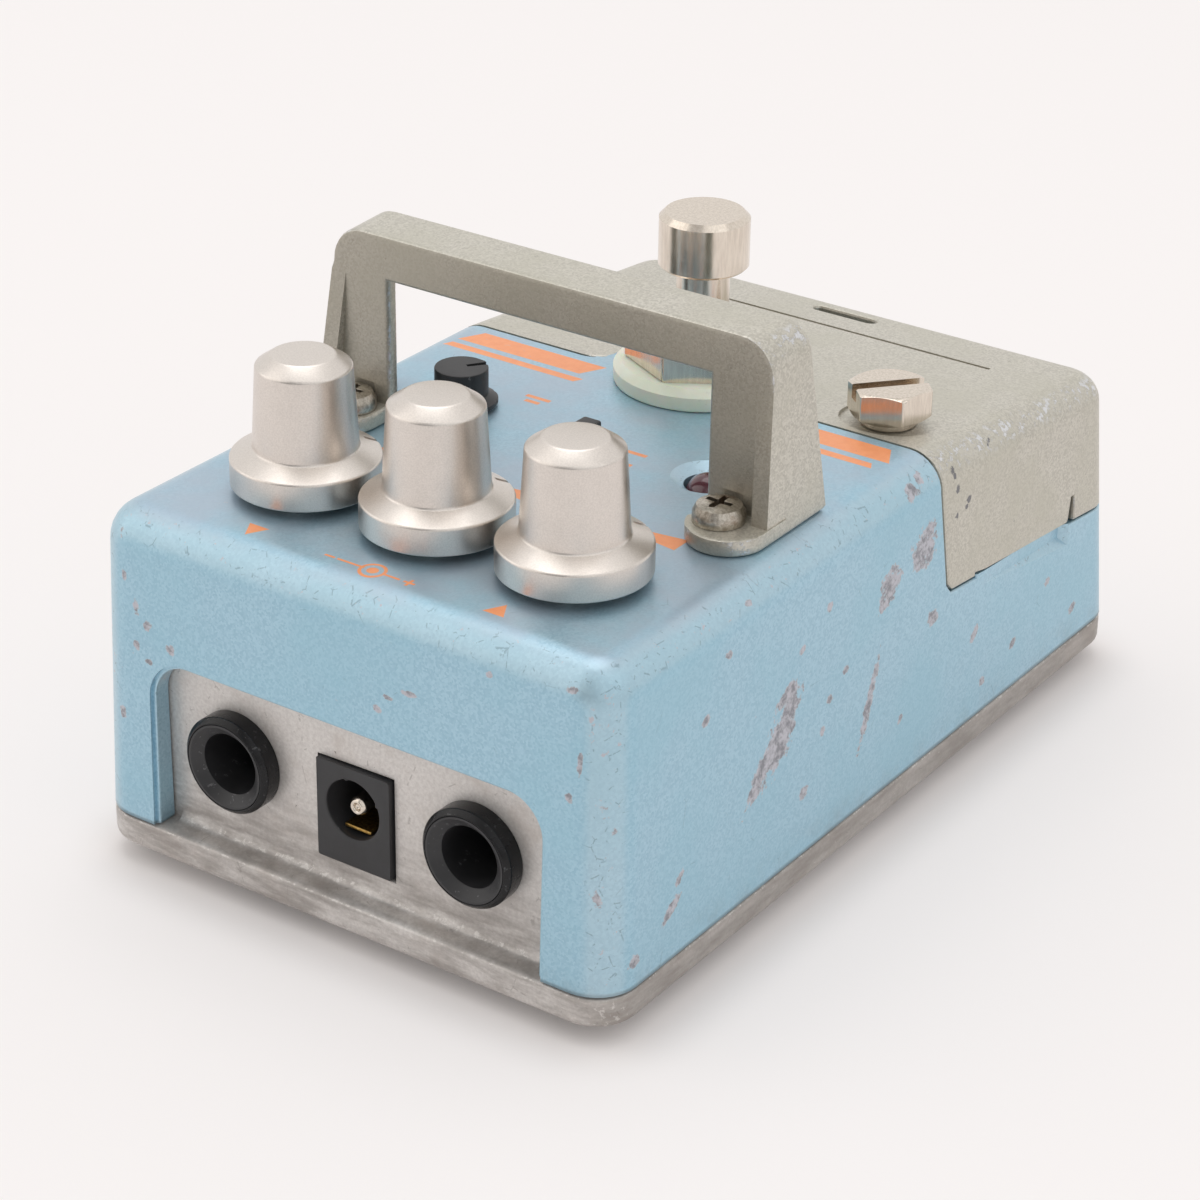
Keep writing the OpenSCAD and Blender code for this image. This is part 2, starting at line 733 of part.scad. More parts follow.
module housing() {
    color("skyblue")
        difference() {
            union() {
                housing_walls();
                each_boss() translate([0, 0, rim_z]) cylinder(r = boss_r, h = boss_h);
                each_handle_screw() translate([0, 0, deck_z - handle_boss_l])
                    cylinder(r = boss_r, h = handle_boss_l + thin);
                translate([screw_x, screw_y, insert_z])
                    cylinder(r = screw_boss_r, h = screw_deck_z - insert_z);
                translate([-bay_wall_x, bay_wall_y, rim_z + lip_h + slide_gap])
                    cube([2 * bay_wall_x, bay_wall_t, cover_z(bay_y) - wall / 2 - cover_t - rim_z - lip_h]);
            }
            // Jack end
            translate([0, front_y - cut, rim_z]) along_y(panel_recess + 2 * cut) notch_outline();
            translate([0, front_y, rim_z]) rotate([-side_draft, 0, 0]) translate([0, -cut, 0])
                along_y(cut + notch_step_d) notch_outline(notch_step_w);
            translate([-panel_w / 2 - panel_gap, panel_y - panel_gap, rim_z - cut])
                cube([panel_w + 2 * panel_gap, wall + cut, panel_top_z - rim_z + panel_gap + cut]);
            // Controls
            for (x = knob_xs) translate([x, knob_y, deck_z - cut])
                cylinder(r = pot_bush_r + hole_gap, h = wall + 2 * cut);
            translate([-trim_x, trim_y, deck_z - cut])
                cylinder(r = trim_shaft_r + slide_gap, h = wall + 2 * cut);
            lever_slot(deck_z - cut, case_h + cut);
            translate([led_x, led_y, deck_z - cut]) cylinder(r = led_r + hole_gap, h = wall + 2 * cut);
            translate([led_x, led_y, case_h - dimple_h])
                cylinder(r1 = led_r + hole_gap, r2 = dimple_r, h = dimple_h + thin);
            translate([0, switch_y, deck_z - cut])
                cylinder(r = bushing_r + hole_gap, h = wall + 2 * cut);
            translate([0, switch_y, case_top_z])
                cylinder(r = nut_af / 2 / cos(30) + slide_gap, h = lock_nut_t);
            // Screws
            each_boss() translate([0, 0, rim_z - cut])
                cylinder(r = small_screw_r + pilot_gap, h = boss_h);
            each_handle_screw() translate([0, 0, deck_z - handle_boss_l - cut])
                cylinder(r = small_screw_r + pilot_gap, h = handle_boss_l + wall + 2 * cut);
            translate([screw_x, screw_y, insert_z - cut])
                cylinder(r = insert_r, h = insert_l + 2 * cut);
            translate([screw_x, screw_y, clip_floor_z])
                cylinder(r = clip_r + slide_gap, h = wall + cut);
            // Battery bay, its gate for the leads, and the finger reliefs under the flaps
            translate([-bay_x, bay_y, rim_z + boss_h + cut])
                cube([2 * bay_x, battery_t + 2 * cut, case_h]);
            translate([snap_x + snap_t / 2 - gate_w / 2, bay_wall_y - cut, rim_z - cut])
                cube([gate_w, bay_wall_t + 2 * cut, gate_h + cut]);
            for (s = [-1, 1]) finger_relief(s);
        }
}

// Slot that the lever moves in, between two levels
module lever_slot(low, high) {
    translate([-lever_w / 2 - slide_gap, lever_y - lever_l / 2 - lever_travel - slide_gap, low])
        cube([lever_w + 2 * slide_gap, lever_l + lever_travel + 2 * slide_gap, high - low]);
}

// Section of the base plate's edge
module base_edge() {
    translate([0, base_edge_r]) square([corner_r, base_t - base_edge_r - seam_h]);
    square([corner_r - max(base_edge_r, seam_h), base_t]);
    intersection() {
        translate([corner_r - base_edge_r, base_edge_r]) circle(base_edge_r, $fn = hull_fn);
        square([corner_r, base_t]);
    }
}

module base_plate() {
    jack_reach = panel_t + 2 * cut;
    color("silver")
        difference() {
            union() {
                translate([0, 0, base_bottom_z]) hull()
                    for (s = [-1, 1], e = [-1, 1])
                        translate([s * (case_w / 2 - corner_r), e * (case_d / 2 - corner_r), 0])
                            rotate_extrude($fn = hull_fn) base_edge();
                translate([-panel_w / 2, panel_y, rim_z - thin])
                    cube([panel_w, panel_t, panel_top_z - rim_z + thin]);
                difference() {
                    translate([-notch_w / 2 + cut, panel_y - panel_fillet, rim_z - thin])
                        cube([notch_w - 2 * cut, panel_fillet + thin, panel_fillet + thin]);
                    translate([0, panel_y - panel_fillet, rim_z + panel_fillet])
                        rotate([0, 90, 0])
                            cylinder(r = panel_fillet, h = notch_w + 2 * cut, center = true);
                }
                for (s = [-1, 1])
                    translate([s * (inner_x - lip_gap - lip_t / 2), 0, rim_z + lip_h / 2])
                        cube([lip_t, case_d - 2 * lip_end, lip_h], center = true);
            }
            for (s = [-1, 1])
                translate([s * jack_x, panel_y - cut, jack_z])
                    rod_y(jack_bush_r + hole_gap, jack_reach);
            translate([-dc_w / 2 - hole_gap, panel_y - cut, dc_z - dc_h / 2 - hole_gap])
                cube([dc_w + 2 * hole_gap, jack_reach, dc_h + 2 * hole_gap]);
            each_boss() {
                translate([0, 0, base_bottom_z - cut])
                    cylinder(r = small_screw_r + hole_gap, h = base_t + 2 * cut);
                translate([0, 0, base_bottom_z - cut])
                    cylinder(r = small_head_r + slide_gap, h = head_sink + cut);
            }
            each_pad() translate([0, 0, base_bottom_z - cut])
                cylinder(r = pad_r + hole_gap, h = pad_t - pad_proud + cut);
        }
}

module each_pad() {
    for (s = [-1, 1], e = [-1, 1])
        translate([s * (case_w / 2 - pad_side), e * (case_d / 2 - pad_end), 0]) children();
}

module rubber_feet() {
    color("dimgray") each_pad() cylinder(r = pad_r, h = pad_t);
}

// Pan-head screw with a cross recess, its head above the origin and its shank below
module pan_screw(shank_l) {
    recess_l = 1.1 * small_head_r;
    recess_w = 0.6;
    low_r = 0.85 * small_head_r;
    top_r = 0.5 * small_head_r;
    bend_h = 0.85 * small_head_h;
    difference() {
        union() {
            rotate_extrude()
                polygon([
                    [0, 0], [small_head_r, 0], [small_head_r, small_head_h / 2],
                    [low_r, bend_h], [top_r, small_head_h], [0, small_head_h]
                ]);
            translate([0, 0, -shank_l]) cylinder(r = small_screw_r, h = shank_l + thin);
        }
        for (a = [0, 90])
            rotate(a) translate([0, 0, small_head_h])
                cube([recess_l, recess_w, small_head_h], center = true);
    }
}

module base_screws() {
    color("gray") each_boss() translate([0, 0, base_bottom_z + head_sink]) rotate([180, 0, 0])
        difference() {
            pan_screw(base_screw_l);
            translate([0, 0, head_sink - slide_gap + case_h / 2]) cube(case_h, center = true);
        }
}

// Points of the handle's outline with corners of radius r, moved in by inset, as X and Z
function handle_arc(s, inset, r) = [
    for (i = [0 : arc_steps])
        let (a = 45 * (1 - s) + 90 * i / arc_steps)
        [s * (handle_top_x - r) + (r - inset) * cos(a), handle_top_z - r + (r - inset) * sin(a)]
];
function handle_outline(inset, r) = concat(
    [[handle_foot_x - inset, case_h]], handle_arc(1, inset, r),
    handle_arc(-1, inset, r), [[-handle_foot_x + inset, case_h]]
);

// Solid inside the handle's outline, from the front of its feet to the back, grown at both ends by extra
module handle_form(inset, extra) {
    low_y = handle_y - flare_front - extra;
    high_y = handle_y + bar_d + flare_back + extra;
    hull() {
        translate([0, low_y, 0]) along_y(thin) polygon(handle_outline(inset, handle_r));
        translate([0, high_y, 0]) along_y(thin) polygon(handle_outline(inset, handle_back_r));
    }
}

module handle() {
    color("darkkhaki")
        difference() {
            union() {
                // Front web
                translate([0, handle_y, 0]) along_y(web_t)
                    difference() {
                        polygon(handle_outline(flange_t / 2, handle_r));
                        translate([-opening_x, case_h - cut])
                            square([2 * opening_x, handle_h - bar_h + cut]);
                    }
                // Flange along the top and down both sides
                intersection() {
                    difference() {
                        handle_form(0, 0);
                        translate([0, 0, -thin]) handle_form(flange_t, cut);
                    }
                    across(case_w)
                        polygon([
                            [handle_y - flare_front, case_h], [handle_y, handle_top_z - bar_h],
                            [handle_y, handle_top_z + cut],
                            [handle_y + bar_d, handle_top_z + cut], [handle_y + bar_d + flare_back, case_h]
                        ]);
                }
                // Feet
                for (s = [-1, 1]) {
                    translate([s * lobe_x, handle_screw_y, case_h]) cylinder(r = lobe_r, h = lobe_t);
                    translate([s * lobe_x - lobe_r, handle_screw_y, case_h])
                        cube([2 * lobe_r, handle_screw_out + web_t, lobe_t]);
                }
            }
            each_handle_screw() translate([0, 0, case_h - cut])
                cylinder(r = handle_hole_r, h = lobe_t + 2 * cut);
            // Room for the screw heads in front of the webs
            each_handle_screw() translate([0, 0, case_h + lobe_t])
                cylinder(r = small_head_r + hole_gap, h = small_head_h + hole_gap);
        }
}

module handle_screws() {
    color("gray") each_handle_screw() translate([0, 0, case_h + lobe_t]) pan_screw(handle_screw_l);
}

module battery_cover() {
    color("darkkhaki")
        difference() {
            intersection() {
                case_form();
                cover_zone(0);
            }
            case_form(cover_t, cut);
            translate([screw_x, screw_y, deck_z]) cylinder(r = screw_r + running_gap, h = wall + cut);
            translate([screw_x, screw_y, spot_z]) cylinder(r = spot_r, h = wall + cut);
            // Slot and groove across the top
            translate([-slot_x, slot_y, cover_z(slot_y) - over])
                linear_extrude(height = 2 * over) {
                    square([slot_l - slot_w, slot_w], center = true);
                    for (s = [-1, 1]) translate([s * (slot_l - slot_w) / 2, 0]) circle(slot_w / 2);
                }
            translate([-groove_x, groove_y - groove_w / 2, cover_z(groove_y) - groove_d])
                cube([2 * groove_x, groove_w, cut]);
            // Bent tab of each flap and the slit at its far end
            for (s = [-1, 1]) {
                tab_waste(s);
                tab_slit(s);
            }
        }
}

module cover_screw() {
    hex_r = screw_af / 2 / cos(30);
    color("silver")
        translate([screw_x, screw_y, 0])
            difference() {
                union() {
                    translate([0, 0, screw_tip_z])
                        cylinder(r = screw_r, h = head_z - screw_tip_z + thin);
                    translate([0, 0, head_z - shoulder_h])
                        cylinder(r = shoulder_r, h = shoulder_h + thin);
                    rotate(screw_turn) intersection() {
                        translate([0, 0, head_z]) hex_bar(screw_af, screw_head_h);
                        translate([0, 0, head_z]) rotate_extrude()
                            polygon([
                                [0, 0], [hex_r - screw_chamfer * 2, 0], [hex_r, screw_chamfer],
                                [hex_r, screw_head_h - screw_chamfer],
                                [hex_r - screw_chamfer * 2, screw_head_h], [0, screw_head_h]
                            ]);
                    }
                }
                rotate(screw_slot_turn) translate([0, 0, head_z + screw_head_h])
                    cube([4 * hex_r, screw_slot_w, 2 * screw_slot_h], center = true);
            }
}

module screw_clip() {
    color("dimgray")
        translate([screw_x, screw_y, clip_floor_z + clip_gap])
            difference() {
                cylinder(r = clip_r, h = clip_t);
                translate([0, 0, -cut]) cylinder(r = screw_r, h = clip_t + 2 * cut);
            }
}

module cover_insert() {
    color("goldenrod")
        translate([screw_x, screw_y, insert_z])
            difference() {
                cylinder(r = insert_r, h = insert_l);
                translate([0, 0, -cut]) cylinder(r = screw_r + running_gap, h = insert_l + 2 * cut);
            }
}

// Top-hat knob standing on its skirt at the origin
module knob() {
    difference() {
        rotate_extrude()
            polygon([
                [knob_hollow_r, 0], [skirt_r, 0], [skirt_r, skirt_h], [knob_low_r, skirt_h + bevel_h],
                [knob_top_r, knob_h - crown_h], [crown_r, knob_h], [0, knob_h], [0, knob_h - knob_wall],
                [shaft_r + pilot_gap, knob_h - knob_wall], [shaft_r + pilot_gap, knob_hollow_h],
                [knob_hollow_r, knob_hollow_h]
            ]);
        rotate(pointer_turn) translate([skirt_r, 0, skirt_h]) rotate([0, bevel_turn, 0])
            translate([-pointer_l, -pointer_w / 2, -pointer_d])
                cube([pointer_l + cut, pointer_w, pointer_d + cut]);
    }
}

module knob_at(x) {
    color("lightgray") translate([x, knob_y, knob_z]) knob();
}

module left_knob() {
    knob_at(-knob_pitch);
}

module centre_knob() {
    knob_at(0);
}

module right_knob() {
    knob_at(knob_pitch);
}

module shaft_at(x) {
    low = deck_z - pot_h + pot_floor + slide_gap;
    color("silver") translate([x, knob_y, low])
        cylinder(r = shaft_r, h = knob_z + knob_h - knob_wall - low);
}

module left_shaft() {
    shaft_at(-knob_pitch);
}

module centre_shaft() {
    shaft_at(0);
}

module right_shaft() {
    shaft_at(knob_pitch);
}

// Solder pins in a row from a body down to the board
module board_pins(top_z) {
    for (i = [-1, 0, 1])
        translate([i * pin_spread - pin_w / 2, -pin_d / 2, board_top_z])
            cube([pin_w, pin_d, top_z - board_top_z + thin]);
}

module pot_at(x) {
    color("gray")
        translate([x, knob_y, 0]) {
            difference() {
                union() {
                    translate([0, 0, deck_z - pot_h]) cylinder(r = pot_r, h = pot_h);
                    translate([0, 0, deck_z - thin])
                        cylinder(r = pot_bush_r, h = wall + pot_bush_h + thin);
                }
                translate([0, 0, deck_z - pot_h + pot_floor])
                    cylinder(r = shaft_r + running_gap, h = case_h);
            }
            board_pins(deck_z - pot_h);
        }
}

module left_pot() {
    pot_at(-knob_pitch);
}

module centre_pot() {
    pot_at(0);
}

module right_pot() {
    pot_at(knob_pitch);
}

module pot_nuts() {
    color("silver")
        for (x = knob_xs)
            translate([x, knob_y, case_h])
                difference() {
                    hex_bar(pot_nut_af, pot_nut_t);
                    translate([0, 0, -cut])
                        cylinder(r = pot_bush_r + hole_gap, h = pot_nut_t + 2 * cut);
                }
}

module trim_knob() {
    low = case_h + trim_lift;
    top = case_h + trim_rise;
    mid = trim_flange_h / 2;
    color("black")
        translate([-trim_x, trim_y, 0])
            difference() {
                rotate_extrude()
                    polygon([
                        [0, low], [trim_flange_r, low], [trim_flange_r, low + mid],
                        [trim_r, low + trim_flange_h], [trim_r, top], [0, top]
                    ]);
                translate([0, 0, case_h - cut])
                    cylinder(r = trim_shaft_r + pilot_gap, h = trim_rise + cut - trim_cap_t);
                rotate(trim_turn) translate([trim_groove_in, -trim_groove_w / 2, top - trim_groove_h])
                    cube([trim_r, trim_groove_w, trim_groove_h + cut]);
            }
}

module trim_shaft() {
    low = deck_z - trim_pot_h + trim_floor + slide_gap;
    color("gray") translate([-trim_x, trim_y, low])
        cylinder(r = trim_shaft_r, h = case_h + trim_rise - trim_cap_t - low);
}

module trim_pot() {
    color("gray")
        translate([-trim_x, trim_y, 0]) {
            difference() {
                translate([-trim_pot_w / 2, -trim_pot_w / 2, deck_z - trim_pot_h])
                    cube([trim_pot_w, trim_pot_w, trim_pot_h]);
                translate([0, 0, deck_z - trim_pot_h + trim_floor])
                    cylinder(r = trim_shaft_r + running_gap, h = case_h);
            }
            board_pins(deck_z - trim_pot_h);
        }
}

module slide_lever() {
    color("black")
        translate([-lever_w / 2, lever_y - lever_l / 2, deck_z - lever_foot])
            cube([lever_w, lever_l, lever_foot + wall + lever_rise]);
}

module slide_switch() {
    body_l = lever_l + lever_travel + 2 * slide_gap + 2 * slide_wall;
    color("dimgray") {
        difference() {
            translate([-slide_w / 2, lever_y - lever_travel / 2 - body_l / 2, deck_z - slide_h])
                cube([slide_w, body_l, slide_h]);
            lever_slot(deck_z - slot_floor, case_h);
        }
        translate([0, lever_y - lever_travel / 2, 0]) rotate(90) board_pins(deck_z - slide_h);
    }
}

module led() {
    color("darkred")
        translate([led_x, led_y, 0]) {
            translate([0, 0, led_base_z]) cylinder(r = led_r, h = led_body_l);
            translate([0, 0, led_centre_z]) sphere(led_r);
            translate([0, 0, led_base_z]) cylinder(r = led_flange_r, h = led_flange_h);
        }
}

module led_leads() {
    color("silver")
        for (s = [-1, 1])
            translate([led_x + s * led_lead_x, led_y, board_top_z])
                cylinder(r = led_lead_r, h = led_base_z - board_top_z);
}

module plunger_cap() {
    color("silver")
        translate([0, switch_y, cap_low_z])
            difference() {
                rotate_extrude()
                    polygon([
                        [0, 0], [cap_r - cap_chamfer / 2, 0], [cap_r, cap_chamfer / 2],
                        [cap_r, cap_h - cap_chamfer],
                        [cap_r - cap_chamfer, cap_h], [0, cap_h]
                    ]);
                translate([0, 0, -cut]) cylinder(r = plunger_r + pilot_gap, h = cap_bore_l + cut);
            }
}

module plunger() {
    color("silver")
        translate([0, switch_y, collar_z]) {
            cylinder(r = plunger_r, h = cap_low_z + cap_bore_l - collar_z);
            cylinder(r = collar_r, h = collar_t);
        }
}

// Hex nut round the bushing, standing on the origin
module bushing_nut(h) {
    difference() {
        hex_bar(nut_af, h);
        translate([0, 0, -cut]) cylinder(r = bushing_r + hole_gap, h = h + 2 * cut);
    }
}

module footswitch_nut() {
    color("silver") translate([0, switch_y, washer_z]) rotate(nut_turn) bushing_nut(nut_t);
}

module footswitch_washer() {
    round_r = washer_t / 3;
    color("honeydew")
        translate([0, switch_y, case_h])
            rotate_extrude()
                polygon([
                    [bushing_r + hole_gap, 0], [washer_r, 0], [washer_r, washer_t - round_r],
                    [washer_r - round_r, washer_t], [bushing_r + hole_gap, washer_t]
                ]);
}

module footswitch_bushing() {
    color("silver")
        translate([0, switch_y, case_top_z])
            difference() {
                cylinder(r = bushing_r, h = bushing_top_z - case_top_z);
                translate([0, 0, -cut])
                    cylinder(r = plunger_r + running_gap, h = bushing_top_z - case_top_z + 2 * cut);
            }
}

module footswitch_lock_nut() {
    color("silver") translate([0, switch_y, deck_z - lock_nut_t]) bushing_nut(lock_nut_t);
}

module footswitch_case() {
    color("royalblue")
        translate([0, switch_y, case_low_z])
            difference() {
                translate([-switch_w / 2, -switch_w / 2, 0]) cube([switch_w, switch_w, switch_h]);
                translate([0, 0, switch_floor]) cylinder(r = switch_bore_r, h = switch_h);
            }
}

// Ring i of the spring's tube, on the helix from the switch floor up to the collar
function spring_ring(i, rings, low, high) = let (
    a = 360 * spring_turns * i / rings,
    z = low + (high - low) * i / rings
) [
    for (k = [0 : spring_sides - 1])
        let (b = 360 * k / spring_sides, r = spring_r + spring_wire_r * cos(b))
        [r * cos(a), r * sin(a), z + spring_wire_r * sin(b)]
];

module footswitch_spring() {
    rings = spring_turns * spring_steps;
    low = case_low_z + switch_floor + spring_wire_r;
    high = collar_z - spring_wire_r;
    points = [for (i = [0 : rings]) each spring_ring(i, rings, low, high)];
    last = rings * spring_sides;
    sides = [
        for (i = [0 : rings - 1], k = [0 : spring_sides - 1])
            let (p = i * spring_sides + k, q = i * spring_sides + (k + 1) % spring_sides)
            each [[p, q + spring_sides, q], [p, p + spring_sides, q + spring_sides]]
    ];
    ends = [
        for (k = [1 : spring_sides - 2])
            each [[0, k, k + 1], [last, last + k + 1, last + k]]
    ];
    color("lightgray") translate([0, switch_y, 0]) polyhedron(points, concat(sides, ends));
}

module footswitch_lugs() {
    color("silver")
        for (x = lug_xs, s = [-1, 1])
            translate([x, switch_y + s * lug_y, case_low_z - lug_l / 2])
                cube([lug_w, lug_t, lug_l], center = true);
}

// Wire at level z along -Y from y0 to y1, across to -X by l, and then up to the underside of the board
module board_wire(x, y0, y1, z, l = 0) {
    translate([x, y1, z]) {
        rod_y(wire_r, y0 - y1);
        sphere(wire_r);
        if (l > 0) rotate([0, -90, 0]) cylinder(r = wire_r, h = l);
        translate([-l, 0, 0]) {
            sphere(wire_r);
            cylinder(r = wire_r, h = board_z - z);
        }
    }
}

module switch_wires() {
    color("steelblue")
        for (x = lug_xs)
            board_wire(x, switch_y - lug_y - lug_t / 2, board_back_y - 2 * wire_r, case_low_z - lug_l / 2);
}

module jack_at(x) {
    front = panel_y - ring_t;
    color("black")
        translate([x, 0, jack_z])
            difference() {
                union() {
                    translate([-jack_body_w / 2, panel_back_y, jack_low_z - jack_z])
                        cube([jack_body_w, jack_body_l, jack_top_z - jack_low_z]);
                    translate([0, front, 0]) rod_y(jack_bush_r, panel_back_y - front + thin);
                }
                translate([0, front - cut, 0])
                    rod_y(jack_bore_r, panel_back_y - front + cut + jack_bore_l);
                translate([0, front - thin, 0]) rotate([-90, 0, 0])
                    cylinder(r1 = jack_bush_r - jack_lip, r2 = jack_bore_r, h = jack_mouth);
            }
}

module input_jack() {
    jack_at(-jack_x);
}

module output_jack() {
    jack_at(jack_x);
}

module jack_rings() {
    color("black")
        for (s = [-1, 1])
            translate([s * jack_x, panel_y, jack_z]) rotate([90, 0, 0])
                rotate_extrude()
                    polygon([
                        [jack_bush_r + running_gap, 0], [ring_r, 0], [ring_r, ring_t - ring_bevel],
                        [ring_r - ring_bevel, ring_t], [jack_bush_r + running_gap, ring_t]
                    ]);
}

module jack_pins() {
    color("silver")
        for (s = [-1, 1], y = jack_pin_ys)
            translate([s * jack_x - pin_w / 2, panel_back_y + y, jack_top_z])
                cube([pin_w, pin_d, jack_pin_l]);
}

module dc_jack() {
    color("black")
        difference() {
            translate([-dc_w / 2, dc_front_y, dc_z - dc_h / 2]) cube([dc_w, dc_l, dc_h]);
            translate([0, dc_front_y - cut, dc_hole_z]) rod_y(dc_hole_r, dc_hole_l + cut);
        }
}

module dc_pin() {
    color("silver") translate([0, dc_front_y + dc_pin_back, dc_hole_z])
        rod_y(dc_pin_r, dc_hole_l - dc_pin_back);
}

module dc_contact() {
    color("goldenrod")
        translate([-dc_leaf_w / 2, dc_front_y + dc_leaf_in, dc_hole_z - dc_hole_r + dc_leaf_up])
            cube([dc_leaf_w, dc_hole_l - dc_leaf_in, dc_leaf_t]);
}

module circuit_board() {
    color("darkgreen")
        translate([-board_w / 2, board_front_y, board_z])
            cube([board_w, board_back_y - board_front_y, board_t]);
}

module chips() {
    color("black")
        for (i = [0 : 2])
            translate([chip_side - board_w / 2 + i * chip_pitch, jack_back_y + chip_gap, board_z - chip_h])
                translate([-chip_w / 2, 0, 0]) cube([chip_w, chip_l, chip_h]);
}

module capacitors() {
    color("navy")
        for (i = [0 : 2])
            translate([
                board_w / 2 - can_side, jack_back_y + can_gap + cap_can_r + i * can_pitch, board_z - cap_can_h
            ])
                cylinder(r = cap_can_r, h = cap_can_h);
}

module battery() {
    color("dimgray") translate([battery_x, battery_y, rim_z]) cube([battery_l, battery_t, battery_h]);
}

module battery_snap() {
    color("black")
        translate([snap_x, battery_y + snap_in, rim_z + snap_low])
            cube([snap_t, battery_t - 2 * snap_in, battery_h - 2 * snap_low]);
}

module battery_leads() {
    color("red")
        for (i = [0, 1]) {
            x = snap_x + lead_out + i * (snap_t - 2 * lead_out);
            y = board_back_y - 2 * wire_r - i * lead_step;
            board_wire(x, battery_y + snap_in, y, lead_z, x - board_w / 2 + lead_in);
        }
}

module foam_pad() {
    front = battery_y + battery_t;
    low = rim_z + foam_low;
    high = low + foam_h;
    color("darkslategray")
        across(battery_l - 2 * foam_margin)
            polygon([
                [front, low], [back_inner_y(low) - foam_gap, low],
                [back_inner_y(high) - foam_gap, high], [front, high]
            ]);
}

housing();
base_plate();
rubber_feet();
base_screws();
handle();
handle_screws();
battery_cover();
cover_screw();
screw_clip();
cover_insert();
left_knob();
centre_knob();
right_knob();
left_shaft();
centre_shaft();
right_shaft();
left_pot();
centre_pot();
right_pot();
pot_nuts();
trim_knob();
trim_shaft();
trim_pot();
slide_lever();
slide_switch();
led();
led_leads();
plunger_cap();
plunger();
footswitch_nut();
footswitch_washer();
footswitch_bushing();
footswitch_lock_nut();
footswitch_case();
footswitch_spring();
footswitch_lugs();
switch_wires();
input_jack();
output_jack();
jack_rings();
jack_pins();
dc_jack();
dc_pin();
dc_contact();
circuit_board();
chips();
capacitors();
battery();
battery_snap();
battery_leads();
foam_pad();
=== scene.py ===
"""Looks of a compact delay pedal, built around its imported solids."""

import json
import math

import bmesh
import bpy
from mathutils import Matrix, Vector
from mathutils.geometry import intersect_point_line


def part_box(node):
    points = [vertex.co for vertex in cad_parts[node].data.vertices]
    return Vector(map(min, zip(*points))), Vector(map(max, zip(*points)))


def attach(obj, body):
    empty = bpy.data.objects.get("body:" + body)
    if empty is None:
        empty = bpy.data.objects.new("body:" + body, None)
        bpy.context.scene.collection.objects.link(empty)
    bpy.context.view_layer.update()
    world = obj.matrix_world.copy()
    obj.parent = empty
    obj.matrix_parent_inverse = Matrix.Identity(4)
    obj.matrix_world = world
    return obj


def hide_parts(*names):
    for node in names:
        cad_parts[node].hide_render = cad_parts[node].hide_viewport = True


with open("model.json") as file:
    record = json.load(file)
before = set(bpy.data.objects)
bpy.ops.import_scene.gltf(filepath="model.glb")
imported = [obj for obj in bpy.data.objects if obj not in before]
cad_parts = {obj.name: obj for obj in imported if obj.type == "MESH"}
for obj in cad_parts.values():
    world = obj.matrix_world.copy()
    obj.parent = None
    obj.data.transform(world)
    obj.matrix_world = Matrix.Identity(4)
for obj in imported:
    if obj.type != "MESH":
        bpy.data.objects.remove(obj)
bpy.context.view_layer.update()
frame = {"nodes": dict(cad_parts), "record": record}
NODES = frame["nodes"]
BODY_OF = {n: b for b, members in frame["record"]["behaviour"]["bodies"].items() for n in members}
MM = 0.001


def rgb(r, g, b):
    """A colour as shown on a screen, 0 to 255, as linear light."""
    return tuple(
        c / 12.92 if c <= 0.04045 else ((c + 0.055) / 1.055) ** 2.4 for c in (r / 255, g / 255, b / 255)
    ) + (1.0,)


